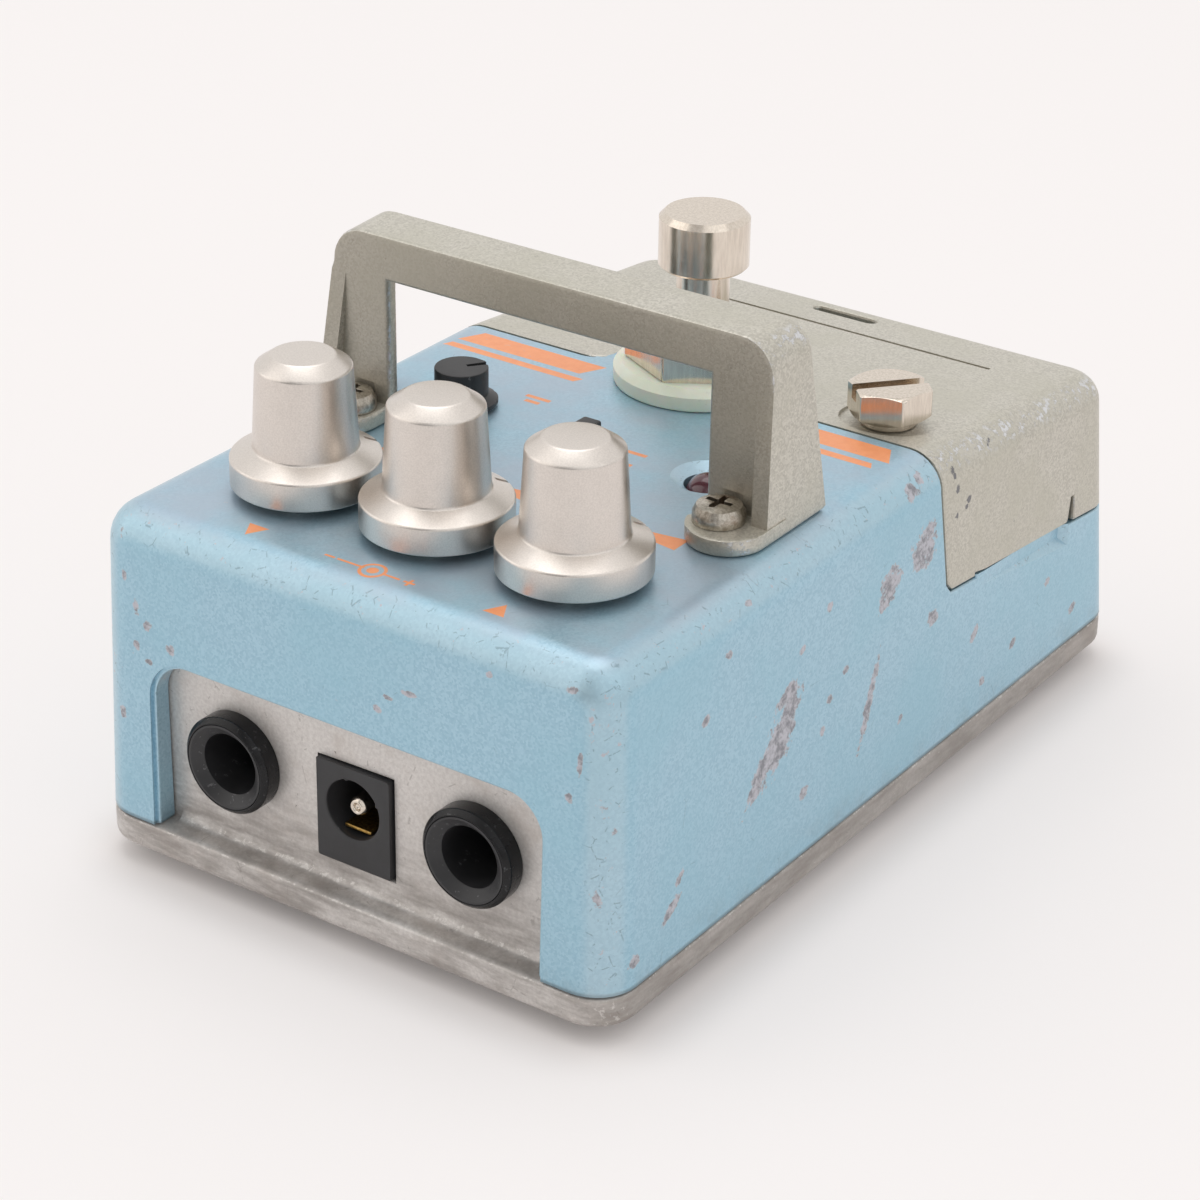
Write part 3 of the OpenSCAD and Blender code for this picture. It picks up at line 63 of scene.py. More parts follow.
class Look:
    """A procedural material: a principled shader, and short names for its nodes. Sizes in mm."""

    def __init__(self, name, **sockets):
        self.mat = bpy.data.materials.new(name)
        self.mat.use_nodes = True
        self.tree = self.mat.node_tree
        self.bsdf = self.tree.nodes["Principled BSDF"]
        place = self.node("ShaderNodeTexCoord")
        self.normal = place.outputs["Normal"]
        self.at = self.node(
            "ShaderNodeVectorMath", {0: place.outputs["Object"], "Scale": 1000.0}, operation="SCALE"
        ).outputs[0]
        self.here = self.at
        self.bumped = None
        for key, value in sockets.items():
            self.set(key.replace("_", " ").title().replace("Ior", "IOR"), value)

    def node(self, kind, inputs=(), **props):
        made = self.tree.nodes.new(kind)
        for key, value in props.items():
            setattr(made, key, value)
        for key, value in dict(inputs).items():
            self.feed(made.inputs[key], value)
        return made

    def feed(self, socket, value):
        if isinstance(value, bpy.types.NodeSocket):
            self.tree.links.new(value, socket)
        else:
            socket.default_value = value

    def set(self, name, value):
        self.feed(self.bsdf.inputs[name], value)
        return self

    def calc(self, op, a, b=0.0, c=0.0):
        return self.node("ShaderNodeMath", {0: a, 1: b, 2: c}, operation=op).outputs[0]

    def times(self, *values):
        made = values[0]
        for value in values[1:]:
            made = self.calc("MULTIPLY", made, value)
        return made

    def most(self, *values):
        made = values[0]
        for value in values[1:]:
            made = self.calc("MAXIMUM", made, value)
        return made

    def vec(self, op, a, b=(0.0, 0.0, 0.0)):
        return self.node("ShaderNodeVectorMath", {0: a, 1: b}, operation=op).outputs[0]

    def wait_for(self, value):
        """Later places are worked out after this value, which keeps the shader's stack small."""
        self.here = self.node(
            "ShaderNodeVectorMath", {0: value, 1: (1e-9, 1e-9, 1e-9), 2: self.at}, operation="MULTIPLY_ADD"
        ).outputs[0]

    def local(self, centre, turn=(0, 0, 0), scale=(1.0, 1.0, 1.0)):
        """The place as seen from a centre, turned in degrees, in units of scale."""
        return self.node(
            "ShaderNodeMapping",
            {
                "Vector": self.here,
                "Location": centre,
                "Rotation": [math.radians(t) for t in turn],
                "Scale": scale,
            },
            vector_type="TEXTURE",
        ).outputs[0]

    def noise(self, size, detail=3.0, rough=0.55, at=None):
        return self.node(
            "ShaderNodeTexNoise",
            {
                "Vector": at or self.at,
                "Scale": 1.0 / size,
                "Detail": detail,
                "Roughness": rough,
            },
        ).outputs[0]

    def cells(self, size, feature="F1", output="Distance", at=None):
        return self.node(
            "ShaderNodeTexVoronoi", {"Vector": at or self.at, "Scale": 1.0 / size}, feature=feature
        ).outputs[output]

    def step(self, value, low, high, to=(0.0, 1.0)):
        return self.node(
            "ShaderNodeMapRange",
            {"Value": value, "From Min": low, "From Max": high, "To Min": to[0], "To Max": to[1]},
            interpolation_type="SMOOTHSTEP",
        ).outputs[0]

    def under(self, value, limit, soft=0.04):
        """1 where value is below a limit."""
        return self.step(value, limit + soft, limit - soft)

    def mix(self, share, a, b):
        return self.node("ShaderNodeMix", {0: share, 6: a, 7: b}, data_type="RGBA").outputs[2]

    def between(self, share, a, b):
        return self.node("ShaderNodeMix", {0: share, 2: a, 3: b}, data_type="FLOAT").outputs[0]

    def parts(self, vector):
        split = self.node("ShaderNodeSeparateXYZ", {0: vector})
        return split.outputs[0], split.outputs[1], split.outputs[2]

    def edges(self, low=0.04, high=0.2):
        """1 on rounded edges and corners, 0 on faces square to the axes."""
        x, y, z = self.parts(self.vec("ABSOLUTE", self.normal))
        return self.step(self.calc("SUBTRACT", 1.0, self.most(x, y, z)), low, high)

    def spots(self, places):
        """How far from the nearest ellipsoid, 1 at its rim: (centre, turn in degrees, half sizes)."""
        best = None
        for centre, turn, half in places:
            inside = self.local(centre, turn, half)
            far = self.node("ShaderNodeVectorMath", {0: inside}, operation="LENGTH").outputs["Value"]
            best = far if best is None else self.calc("MINIMUM", best, far)
            self.wait_for(best)
        return best

    def scratches(self, size, width, turn, cover):
        """Short hairlines: the borders of large cells, broken up by a noise."""
        at = self.local((size * 3.7, size * 1.3, 0.0), turn)
        line = self.under(self.cells(size, "DISTANCE_TO_EDGE", at=at), width / size, width / size)
        return self.times(line, self.step(self.noise(size * 0.45, 4.0, at=at), cover, cover + 0.05))

    def bump(self, height, depth):
        """One more layer of relief, depth mm high."""
        inputs = {"Height": height, "Distance": depth * MM, "Strength": 1.0}
        if self.bumped:
            inputs["Normal"] = self.bumped
        self.bumped = self.node("ShaderNodeBump", inputs).outputs[0]
        return self.set("Normal", self.bumped)

    # Printed marks, drawn on the deck as X and Y

    def draw(self, shapes):
        best = None
        for kind, *facts in shapes:
            made = getattr(self, kind)(*facts)
            best = made if best is None else self.calc("MAXIMUM", best, made)
            self.wait_for(best)
        return best

    def bar(self, centre, half, turn=0.0, slant=0.0):
        x, y, _ = self.parts(self.local((*centre, 0.0), (0, 0, turn)))
        x = self.calc("ABSOLUTE", self.calc("MULTIPLY_ADD", y, -slant, x))
        return self.times(self.under(x, half[0]), self.under(self.calc("ABSOLUTE", y), half[1]))

    def wedge(self, centre, size, turn=0.0):
        """A triangle that narrows along its own X."""
        x, y, _ = self.parts(self.local((*centre, 0.0), (0, 0, turn)))
        reach = self.calc("MULTIPLY_ADD", x, size[1] / size[0] / 2, self.calc("ABSOLUTE", y))
        return self.times(self.under(reach, size[1] / 4), self.under(self.calc("ABSOLUTE", x), size[0] / 2))

    def ring(self, centre, r, thick):
        x, y, _ = self.parts(self.local((*centre, 0.0)))
        far = self.calc("SQRT", self.calc("ADD", self.times(x, x), self.times(y, y)))
        return self.under(self.calc("ABSOLUTE", self.calc("SUBTRACT", far, r)), thick / 2)


# ---------------------------------------------------------------- materials

# Bare patches of the blue paint: place, turn and half sizes, on the right side, the jack end and its corners
SIDE_CHIPS = [
    # y, z, lean, half length, half width
    (-21.3, 21, 52, 4.3, 1.9), (-24.9, 18.4, 50, 3.5, 0.9), (-20.1, 24.8, 23, 2.3, 0.9),
    (-4.6, 17, 70, 4.2, 0.6), (5.6, 30.1, 25, 2.2, 2), (6.7, 31.8, 25, 1.1, 1), (-0.9, 28.8, 30, 1.9, 1.5),
    (-2.2, 27, 25, 1.1, 0.6), (8.1, 21.5, 20, 0.96, 0.9), (17.2, 15.7, 50, 0.96, 0.45),
    (19.4, 9.1, 45, 0.48, 0.45),
    (-9.3, 22.9, 40, 0.6, 0.45), (-16.8, 12.6, 5, 0.72, 0.6), (-13.5, 17.8, 45, 0.6, 0.45),
    (-12.1, 20.9, 35, 0.54, 0.45),
    (-34.3, 28.5, 40, 0.66, 0.45), (-12.6, 31.2, 5, 0.48, 0.45), (-40.2, 11, 35, 1.6, 0.52),
    (-38.6, 13.8, 40, 0.84, 0.38),
    (-46.1, 8.4, 25, 0.72, 0.6), (-30.6, 33.6, -15, 0.6, 0.38), (-17.4, 28.6, 30, 0.6, 0.38),
    (2, 12.4, 35, 0.6, 0.38),
    (26, 10.9, 25, 0.72, 0.45), (33.5, 15.4, 35, 0.6, 0.45), (40, 9.4, 25, 0.84, 0.6),
]
FRONT_CHIPS = [
    # x, z, half width, half height
    (26.3, 36.8, 0.55, 0.4), (29.2, 33.6, 0.45, 0.5), (27.45, 30, 0.26, 1.3), (26.4, 26.1, 0.4, 0.5),
    (29.4, 16.2, 0.5, 0.9), (-27.0, 37, 0.5, 0.7), (-25.2, 29.4, 0.4, 0.8), (-23.9, 27.8, 0.5, 0.5),
    (-20.9, 26, 0.5, 0.45), (-25.3, 25.3, 0.35, 0.5), (-23.7, 23.9, 0.4, 0.3), (-27.5, 17.2, 0.4, 0.6),
    (4.6, 28, 0.45, 0.35), (8.3, 30.7, 0.95, 0.25), (5.9, 29.5, 0.5, 0.25), (17.4, 35.6, 0.4, 0.3),
    (-26.6, 32.4, 0.3, 0.5),
]
EDGE_CHIPS = [
    # centre, half sizes
    ((30.7, -49.2, 25.6), (1.0, 1.0, 1.5)), ((30.9, -49.0, 22.8), (0.9, 0.9, 0.8)),
    ((30.8, -49.1, 20.4), (0.8, 0.8, 0.9)),
    ((29.4, -48.3, 37.9), (0.8, 0.9, 0.7)), ((30.4, -46.8, 37.7), (0.5, 0.8, 0.5)), ((27.6, -49.0, 38),
    (0.6, 0.6, 0.4)),
    ((30.4, 3.6, 37.3), (1.2, 1.0, 1.0)), ((30.2, 5.6, 37.8), (1.0, 0.7, 0.7)), ((30.6, -26.5, 37.2),
    (0.7, 0.5, 0.35)),
    ((-30.4, -20.0, 37.4), (1.0, 1.4, 0.7)), ((-30.8, 12.0, 23.4), (0.8, 1.2, 1.0)),
    ((-30.8, -34.0, 15.4), (0.8, 0.7, 1.6)),
    ((10.0, 50.0, 11.4), (1.2, 0.8, 0.8)), ((-18.0, 50.0, 8.4), (0.7, 0.8, 1.1)),
]
COVER_CHIPS = [
    # y, z, half length, half height, on the right flap
    (11.5, 36.5, 0.45, 0.45), (11.7, 36, 0.35, 0.35), (12.2, 34.3, 0.35, 0.5), (14.7, 32.3, 0.5, 0.4),
    (14.2, 31.6, 0.3, 0.3),
    (12.2, 31.3, 0.35, 0.3), (19.7, 36.8, 0.6, 0.5),
]


MARKS = [
    ("wedge", (-14.2, -44.9), (2.2, 2.4), -90), ("wedge", (14.5, -44.1), (2.2, 2.4), 90),
    # Polarity of the power socket
    ("ring", (0.3, -44.8), 0.3, 0.6), ("ring", (0.3, -44.8), 1.25, 0.35), ("bar", (2.6, -44.8),
    (0.9, 0.16)),
    ("bar", (-2.3, -44.8), (1.6, 0.16)), ("bar", (4.6, -44.8), (0.65, 0.16)), ("bar", (4.6, -44.8),
    (0.16, 0.65)),
    ("bar", (-4.8, -44.8), (0.6, 0.16)),
    # Stripes before the cover
    ("bar", (-18.2, 5.9), (8.0, 1.5), 0.0, 0.5), ("bar", (-18.6, 2.9), (8.6, 0.55), 0.0, 0.5),
    ("bar", (21.8, 5.9), (4.4, 1.5), 0.0, -0.5), ("bar", (21.2, 2.9), (4.6, 0.55), 0.0, -0.5),
    # Low to high beside each knob, and the places of the trimmer and the lever
    ("wedge", (-16.0, -23.3), (9.0, 2.6), 180), ("wedge", (0.0, -23.3), (9.0, 2.6), 180),
    ("wedge", (16.0, -23.3), (9.0, 2.6), 180),
    ("bar", (-10.6, -3.4), (1.5, 0.3)), ("bar", (-10.6, -4.5), (0.9, 0.3)),
    ("bar", (5.4, -8.7), (1.2, 0.3)), ("bar", (5.4, -11.4), (1.2, 0.3)),
]


TORN, RIM = 3.0, 0.16


def ragged(k, places, size=1.1):
    """1 inside some ellipsoids with a torn outline and loose flecks round it."""
    far = k.calc("MULTIPLY_ADD", k.noise(size, 5.0, 0.68), TORN, k.spots(places))
    edge = 1.0 + TORN * 0.5
    return k.step(far, edge + RIM, edge - RIM)


def blue_paint():
    """Light metallic blue paint over a grey casting: flakes, chips, hairlines, patches darker low down,
    orange marks, a painted shadow line at its foot and painted highlights on its rounded edges.
    """
    k = Look("blue_paint", coat_weight=0.3, coat_roughness=0.2)
    flake = k.cells(0.24, output="Color")
    cloud = k.noise(14.0, 3.0)
    colour = k.mix(k.step(flake, 0.1, 0.9), rgb(153, 190, 209), rgb(169, 204, 221))
    colour = k.mix(k.times(k.step(cloud, 0.35, 0.7), 0.5), colour, rgb(152, 197, 214))
    _, _, z = k.parts(k.at)
    _, _, up = k.parts(k.normal)
    deck = k.times(k.step(up, 0.7, 0.95), k.step(z, 31.4, 35.4))
    dust = k.times(deck, k.step(k.noise(9.0, 5.0, 0.6), 0.25, 0.7), 0.75)
    colour = k.mix(dust, colour, rgb(174, 187, 202))

    # Orange marks on the deck, where the paint is whole
    mark = k.draw(MARKS)
    mark = k.times(mark, deck, k.step(k.noise(0.7, 5.0, 0.7), 0.24, 0.36))
    colour = k.mix(mark, colour, k.mix(k.noise(1.0, 4.0), rgb(236, 142, 88), rgb(252, 168, 112)))

    # Darker in patches towards the foot of the housing
    low_patches = k.times(k.step(z, 9.4, 5.6), k.step(k.noise(5.0, 5.0, 0.65), 0.4, 0.75))
    colour = k.mix(k.times(low_patches, 0.35), colour, rgb(130, 140, 146))
    # Painted shadow: a dark line along the foot of the housing, where it sits on the base plate
    colour = k.mix(k.times(k.step(z, 6.1, 5.7), 0.6), colour, rgb(82, 92, 98))
    edge = k.edges(0.015, 0.12)
    # Painted highlight, with paint worn thin: the rounded edges and corners are lightened evenly
    colour = k.mix(k.times(edge, 0.3), colour, rgb(198, 216, 224))
    hair = k.most(
        k.times(k.scratches(9.0, 0.035, (20, 35, 10), 0.6), 0.6),
        k.times(k.scratches(1.9, 0.045, (35, 70, 20), 0.54), edge),
    )
    speck = k.times(k.step(k.noise(0.5, 3.0, 0.6), 0.69, 0.73), k.between(edge, 0.25, 0.9))
    colour = k.mix(k.times(k.most(hair, speck), 0.45), colour, rgb(92, 110, 122))

    places = [((31.2, y, z), (lean, 0, 0), (2.0, l, w)) for y, z, lean, l, w in SIDE_CHIPS]
    places += [((x, -50.0, z), (0, 0, 0), (w, 1.0, h)) for x, z, w, h in FRONT_CHIPS]
    places += [(centre, (0, 0, 0), half) for centre, half in EDGE_CHIPS]
    chip = ragged(k, places)
    worn = k.calc("MULTIPLY_ADD", edge, 0.1, k.noise(0.9, 6.0, 0.7))
    chip = k.most(chip, k.step(k.calc("ADD", worn, k.times(k.noise(9.0, 2.0), 0.2)), 0.83, 0.87))
    rim = k.step(chip, 0.02, 0.4)
    bare = k.mix(k.step(k.noise(0.9, 4.0, 0.7), 0.36, 0.62), rgb(126, 124, 130), rgb(190, 188, 196))
    colour = k.mix(k.times(rim, 0.8), colour, rgb(196, 206, 214))
    colour = k.mix(k.times(chip, 0.9), colour, bare)
    k.set("Base Color", colour)
    k.set("Metallic", k.calc("MULTIPLY_ADD", k.most(mark, chip), -0.45, 0.6))
    rough = k.between(k.step(cloud, 0.3, 0.7), 0.36, 0.43)
    k.set("Roughness", k.between(chip, rough, 0.55))
    k.bump(flake, 0.008)
    k.bump(k.noise(2.5, 2.0), 0.02)
    return k


def khaki_paint():
    """Champagne-grey metallic paint with a fine cast grain, rubbed shiny in places along its edges."""
    k = Look("khaki_paint", coat_weight=0.25, coat_roughness=0.3)
    grain = k.noise(0.45, 4.0, 0.65)
    flake = k.cells(0.2, output="Color")
    colour = k.mix(k.step(flake, 0.1, 0.9), rgb(183, 179, 168), rgb(208, 204, 193))
    colour = k.mix(k.times(k.step(k.noise(10.0, 3.0), 0.35, 0.7), 0.6), colour, rgb(190, 187, 172))
    edge = k.edges(0.03, 0.2)
    pit = k.times(k.step(k.noise(0.8, 4.0, 0.7), 0.66, 0.72), 0.5)
    colour = k.mix(pit, colour, rgb(112, 107, 98))
    dull = k.times(edge, k.step(k.noise(3.0, 4.0), 0.4, 0.7))
    colour = k.mix(k.times(dull, 0.5), colour, rgb(206, 202, 193))
    flecks = k.calc("ADD", k.noise(0.8, 6.0, 0.72), k.times(k.noise(5.0, 2.0), 0.25))
    shiny = k.times(edge, k.step(flecks, 0.66, 0.71))
    colour = k.mix(k.times(shiny, 0.9), colour, rgb(222, 223, 226))
    places = [((31.1, y, z), (0, 0, 0), (1.5, l, h)) for y, z, l, h in COVER_CHIPS]
    dark = k.most(ragged(k, places, 0.7), k.times(k.step(k.noise(1.2, 5.0, 0.66), 0.73, 0.75), 0.8))
    colour = k.mix(dark, colour, rgb(118, 118, 120))
    # Painted shade: the faces towards the jack end are darkened
    _, ny, _ = k.parts(k.normal)
    colour = k.mix(k.times(k.step(ny, -0.6, -0.9), 0.5), colour, rgb(140, 132, 118))
    k.set("Base Color", colour)
    k.set("Metallic", k.calc("MULTIPLY_ADD", k.most(shiny, dull), 0.2, 0.65))
    k.set("Roughness", k.between(k.most(shiny, dull), 0.42, 0.3))
    k.bump(grain, 0.05)
    k.bump(flake, 0.01)
    k.bump(k.most(dark, shiny), -0.04)
    return k


def bare_casting():
    """Bare grey casting: faint speckle, pores, short scratches, brown stains, grime and painted shade
    darkening it low down, painted shade on the side facing +X.
    """
    k = Look("bare_casting")
    speck = k.noise(0.4, 5.0, 0.65)
    stain = k.noise(6.0, 5.0, 0.6)
    colour = k.mix(k.step(speck, 0.3, 0.7), rgb(204, 199, 195), rgb(222, 218, 214))
    colour = k.mix(k.times(k.step(stain, 0.5, 0.75), 0.6), colour, rgb(194, 184, 176))
    pore = k.times(k.step(k.noise(0.55, 4.0, 0.7), 0.68, 0.73), k.step(k.noise(3.0, 3.0), 0.42, 0.6))
    colour = k.mix(k.times(pore, 0.7), colour, rgb(104, 96, 92))
    _, _, z = k.parts(k.at)
    # Darker downwards, wiped along X and Y: grime, and painted shade standing for the dim floor reflected low
    # on the jack panel
    wiped = k.noise(1.3, 5.0, 0.65, at=k.vec("MULTIPLY", k.at, (0.22, 0.22, 1.0)))
    low = k.times(k.step(z, 17.0, 5.8), k.step(wiped, 0.25, 0.72))
    colour = k.mix(k.times(low, 0.75), colour, rgb(138, 131, 126))
    # Painted shade: the faces turned towards +X are darkened
    nx, _, _ = k.parts(k.normal)
    colour = k.mix(k.times(k.step(nx, 0.3, 0.9), 0.5), colour, rgb(142, 134, 127))
    shiny = k.step(k.calc("MULTIPLY_ADD", k.edges(), 0.12, k.noise(0.7, 5.0, 0.7)), 0.64, 0.72)
    colour = k.mix(k.times(shiny, 0.5), colour, rgb(232, 229, 225))
    hair = k.scratches(3.5, 0.04, (10, 80, 30), 0.58)
    colour = k.mix(k.times(hair, 0.45), colour, rgb(128, 120, 116))
    k.set("Base Color", colour)
    k.set("Metallic", 0.45)
    k.set("Roughness", k.between(k.most(shiny, k.step(stain, 0.3, 0.6)), 0.36, 0.44))
    k.bump(speck, 0.018)
    k.bump(pore, -0.04)
    return k


def metal(name, light, dark, rough, grain=0.25, streak=None, stain=None, relief=0.006):
    """Plated or turned metal: fine grain or turning streaks, and dulled patches."""
    k = Look(name, metallic=1.0)
    if streak:
        fine = k.noise(grain, 3.0, 0.6, at=k.vec("MULTIPLY", k.at, streak))
    else:
        fine = k.noise(grain, 4.0, 0.65)
    dull = k.noise(3.0, 5.0, 0.62)
    colour = k.mix(k.step(fine, 0.3, 0.7), dark, light)
    if stain:
        colour = k.mix(k.times(k.step(dull, 0.52, 0.7), 0.6), colour, stain)
    dirt = k.times(k.step(k.noise(0.5, 4.0, 0.7), 0.69, 0.74), 0.4)
    colour = k.mix(dirt, colour, rgb(120, 110, 98))
    k.set("Base Color", colour)
    k.set("Roughness", k.between(k.step(dull, 0.35, 0.7), rough, rough + 0.08))
    k.bump(fine, relief)
    return k


def plastic(name, light, dark, rough, grain=0.3, scuff=rgb(120, 120, 122), rub=0.5, **sockets):
    """Moulded plastic: fine mould grain, uneven gloss and light scuffs on its edges."""
    k = Look(name, **sockets)
    fine = k.noise(grain, 4.0, 0.6)
    patch = k.noise(4.0, 4.0)
    colour = k.mix(k.step(patch, 0.3, 0.7), dark, light)
    flecks = k.calc("MULTIPLY_ADD", k.edges(), 0.12, k.noise(0.6, 5.0, 0.7))
    scuffed = k.times(k.step(k.calc("MULTIPLY_ADD", k.noise(3.0, 2.0), 0.2, flecks), 0.82, 0.87), rub)
    colour = k.mix(scuffed, colour, scuff)
    k.set("Base Color", colour)
    k.set("Roughness", k.between(k.step(patch, 0.3, 0.7), rough, rough + 0.1))
    k.bump(fine, 0.008)
    k.bump(k.scratches(3.0, 0.03, (15, 40, 70), 0.6), -0.01)
    return k


LOOKS = {
    "blue_paint": blue_paint(),
    "khaki_paint": khaki_paint(),
    "bare_casting": bare_casting(),
    "foot_rubber": plastic("foot_rubber", rgb(62, 61, 60), rgb(46, 45, 44), 0.75, 0.5, rgb(120, 116, 110)),
    "screw_steel": metal(
        "screw_steel", rgb(205, 199, 188), rgb(166, 158, 146), 0.3, 0.3, None, rgb(122, 92, 66), 0.015
    ),
    "nickel": metal(
        "nickel", rgb(228, 218, 205), rgb(214, 203, 190), 0.17, 0.3, (1.0, 1.0, 0.12), None, 0.002
    ),
    "knob_aluminium": metal(
        "knob_aluminium", rgb(226, 219, 212), rgb(213, 206, 199), 0.3, 0.16, None, None, 0.003
    ),
    "shaft_aluminium": metal(
        "shaft_aluminium", rgb(206, 204, 200), rgb(176, 174, 170), 0.3, 0.2, (0.3, 0.3, 3.0)
    ),
    "plated_steel": metal(
        "plated_steel", rgb(196, 195, 190), rgb(160, 158, 150), 0.32, 0.5, None, rgb(150, 140, 118)
    ),
    "spring_steel": metal("spring_steel", rgb(190, 190, 188), rgb(150, 150, 148), 0.26, 0.3),
    "brass": metal("brass", rgb(205, 172, 104), rgb(160, 124, 66), 0.3, 0.3, None, rgb(112, 84, 48)),
    "black_plastic": plastic("black_plastic", rgb(50, 50, 52), rgb(38, 38, 40), 0.4),
    "ring_plastic": plastic(
        "ring_plastic", rgb(24, 24, 26), rgb(16, 16, 18), 0.2, rub=0.3, specular_ior_level=0.3
    ),
    "grey_plastic": plastic("grey_plastic", rgb(120, 120, 118), rgb(98, 98, 96), 0.45),
    "blue_plastic": plastic("blue_plastic", rgb(52, 92, 158), rgb(40, 76, 138), 0.38),
    "pale_plastic": plastic(
        "pale_plastic", rgb(238, 241, 226), rgb(228, 233, 214), 0.32, 0.6, rgb(208, 206, 186), 0.25,
        subsurface_weight=0.35, subsurface_scale=0.002,
    ),
    "red_lens": plastic(
        "red_lens", rgb(104, 58, 66), rgb(84, 42, 52), 0.12, 1.2, rgb(130, 100, 102), 0.2, coat_weight=0.5
    ),
    "wire_sheath": plastic("wire_sheath", rgb(72, 112, 152), rgb(58, 96, 134), 0.4),
    "lead_sheath": plastic("lead_sheath", rgb(158, 42, 36), rgb(132, 32, 28), 0.4),
    "board": plastic("board", rgb(42, 92, 58), rgb(30, 76, 46), 0.35, 0.8),
    "capacitor_sleeve": plastic("capacitor_sleeve", rgb(44, 50, 78), rgb(32, 38, 62), 0.3),
    "battery_wrap": plastic("battery_wrap", rgb(96, 96, 98), rgb(74, 74, 76), 0.3),
    "foam": plastic("foam", rgb(66, 68, 70), rgb(46, 48, 50), 0.9, 0.7),
}

# ---------------------------------------------------------------- pieces


# Points closer than MERGE metres are one, and faces within FLAT are one
MERGE, FLAT = 3e-7, math.radians(0.3)


def tidy(node):
    """A copy of a node's mesh with its seams closed."""
    made = bmesh.new()
    made.from_mesh(NODES[node].data)
    bmesh.ops.remove_doubles(made, verts=made.verts, dist=MERGE)
    return made


# Softening: edges turned more than SHARP are rounded, unless a corner beside them is under NARROW, a face has
# less than ROOM widths to spare, or a fold over FOLD shows up within REACH widths of them
SHARP, NARROW, FOLD = (math.radians(d) for d in (32, 60, 165))
ROOM, REACH, TRIES, SEGMENTS = 2.1, 2, 8, 2


def room(face, edge):
    """How far a face reaches from one of its edges, or how wide a face with many corners is."""
    if len(face.verts) <= 4:
        return face.calc_area() / edge.calc_length()
    return 2 * face.calc_area() / face.calc_perimeter()


def tears(made):
    """Ends of the edges where a mesh folds back on itself or isn't closed."""
    made = made.copy()
    bmesh.ops.triangulate(made, faces=made.faces)
    torn = [e for e in made.edges if len(e.link_faces) != 2 or e.calc_face_angle() > FOLD]
    ends = [v.co.copy() for e in torn for v in e.verts]
    made.free()
    return ends


def distance(point, edge):
    a, b = (v.co for v in edge.verts)
    _, along = intersect_point_line(point, a, b)
    return (point - a.lerp(b, min(1.0, max(0.0, along)))).length


def soften(made, width):
    """Round the sharp outward edges, where the faces beside them have room and nothing folds."""
    bmesh.ops.dissolve_limit(made, angle_limit=FLAT, verts=made.verts, edges=made.edges)
    made.edges.index_update()
    width *= MM
    chosen = []
    for e in made.edges:
        if len(e.link_faces) != 2 or e.calc_face_angle_signed(0.0) < SHARP:
            continue
        corners = [c for f in e.link_faces for c in f.loops if c.vert in e.verts]
        if min(c.calc_angle() for c in corners) < NARROW:
            continue
        if all(room(f, e) > ROOM * width for f in e.link_faces):
            chosen.append(e)
    for _ in range(TRIES):
        soft = made.copy()
        soft.edges.ensure_lookup_table()
        bmesh.ops.bevel(
            soft, geom=[soft.edges[e.index] for e in chosen], offset=width, segments=SEGMENTS, profile=0.5,
            affect="EDGES", clamp_overlap=False, miter_outer="ARC",
        )
        bmesh.ops.remove_doubles(soft, verts=soft.verts, dist=MERGE)
        torn = tears(soft)
        kept = [e for e in chosen if all(distance(t, e) > REACH * width for t in torn)]
        if len(kept) == len(chosen):
            break
        chosen = kept
        soft.free()
    made.free()
    return soft


def rounded(outline, r, steps=4):
    """An outline of (radius, height) points with its inner points rounded off."""
    made = [outline[0]]
    for before, here, after in zip(outline, outline[1:], outline[2:]):
        here = Vector(here)
        ends = []
        for other in (before, after):
            way = Vector(other) - here
            ends.append(here + way.normalized() * min(r, 0.45 * way.length))
        for i in range(steps + 1):
            s = i / steps
            made.append(tuple(ends[0] * (1 - s) ** 2 + here * 2 * s * (1 - s) + ends[1] * s * s))
    return made + [outline[-1]]


def turned(outline, place, steps=96):
    """A solid turned round its own Z: (radius, height) points in mm, axis to axis or a closed loop."""
    made = bmesh.new()
    angles = [2 * math.pi * i / steps for i in range(steps)]
    rings = []
    for r, h in outline:
        spread = angles if r > 0 else [0.0]
        rings.append([made.verts.new((r * math.cos(a) * MM, r * math.sin(a) * MM, h * MM)) for a in spread])
    if outline[0][0] > 0:
        rings.append(rings[0])
    for a, b in zip(rings, rings[1:]):
        for i in range(steps):
            corners = [a[i % len(a)], b[i % len(b)], b[(i + 1) % len(b)], a[(i + 1) % len(a)]]
            made.faces.new(dict.fromkeys(corners))
    bmesh.ops.recalc_face_normals(made, faces=made.faces)
    bmesh.ops.transform(made, matrix=place, verts=made.verts)
    return made


def carved(made, cutter):
    """The first solid less the second."""
    pair = []
    for solid in (made, cutter):
        mesh = bpy.data.meshes.new("carving")
        solid.to_mesh(mesh)
        solid.free()
        pair.append(bpy.data.objects.new("carving", mesh))
        bpy.context.scene.collection.objects.link(pair[-1])
    cut = pair[0].modifiers.new("cut", "BOOLEAN")
    cut.object = pair[1]
    cut.solver = "EXACT"
    left = bmesh.new()
    left.from_object(pair[0], bpy.context.evaluated_depsgraph_get())
    for each in pair:
        bpy.data.objects.remove(each)
    return left


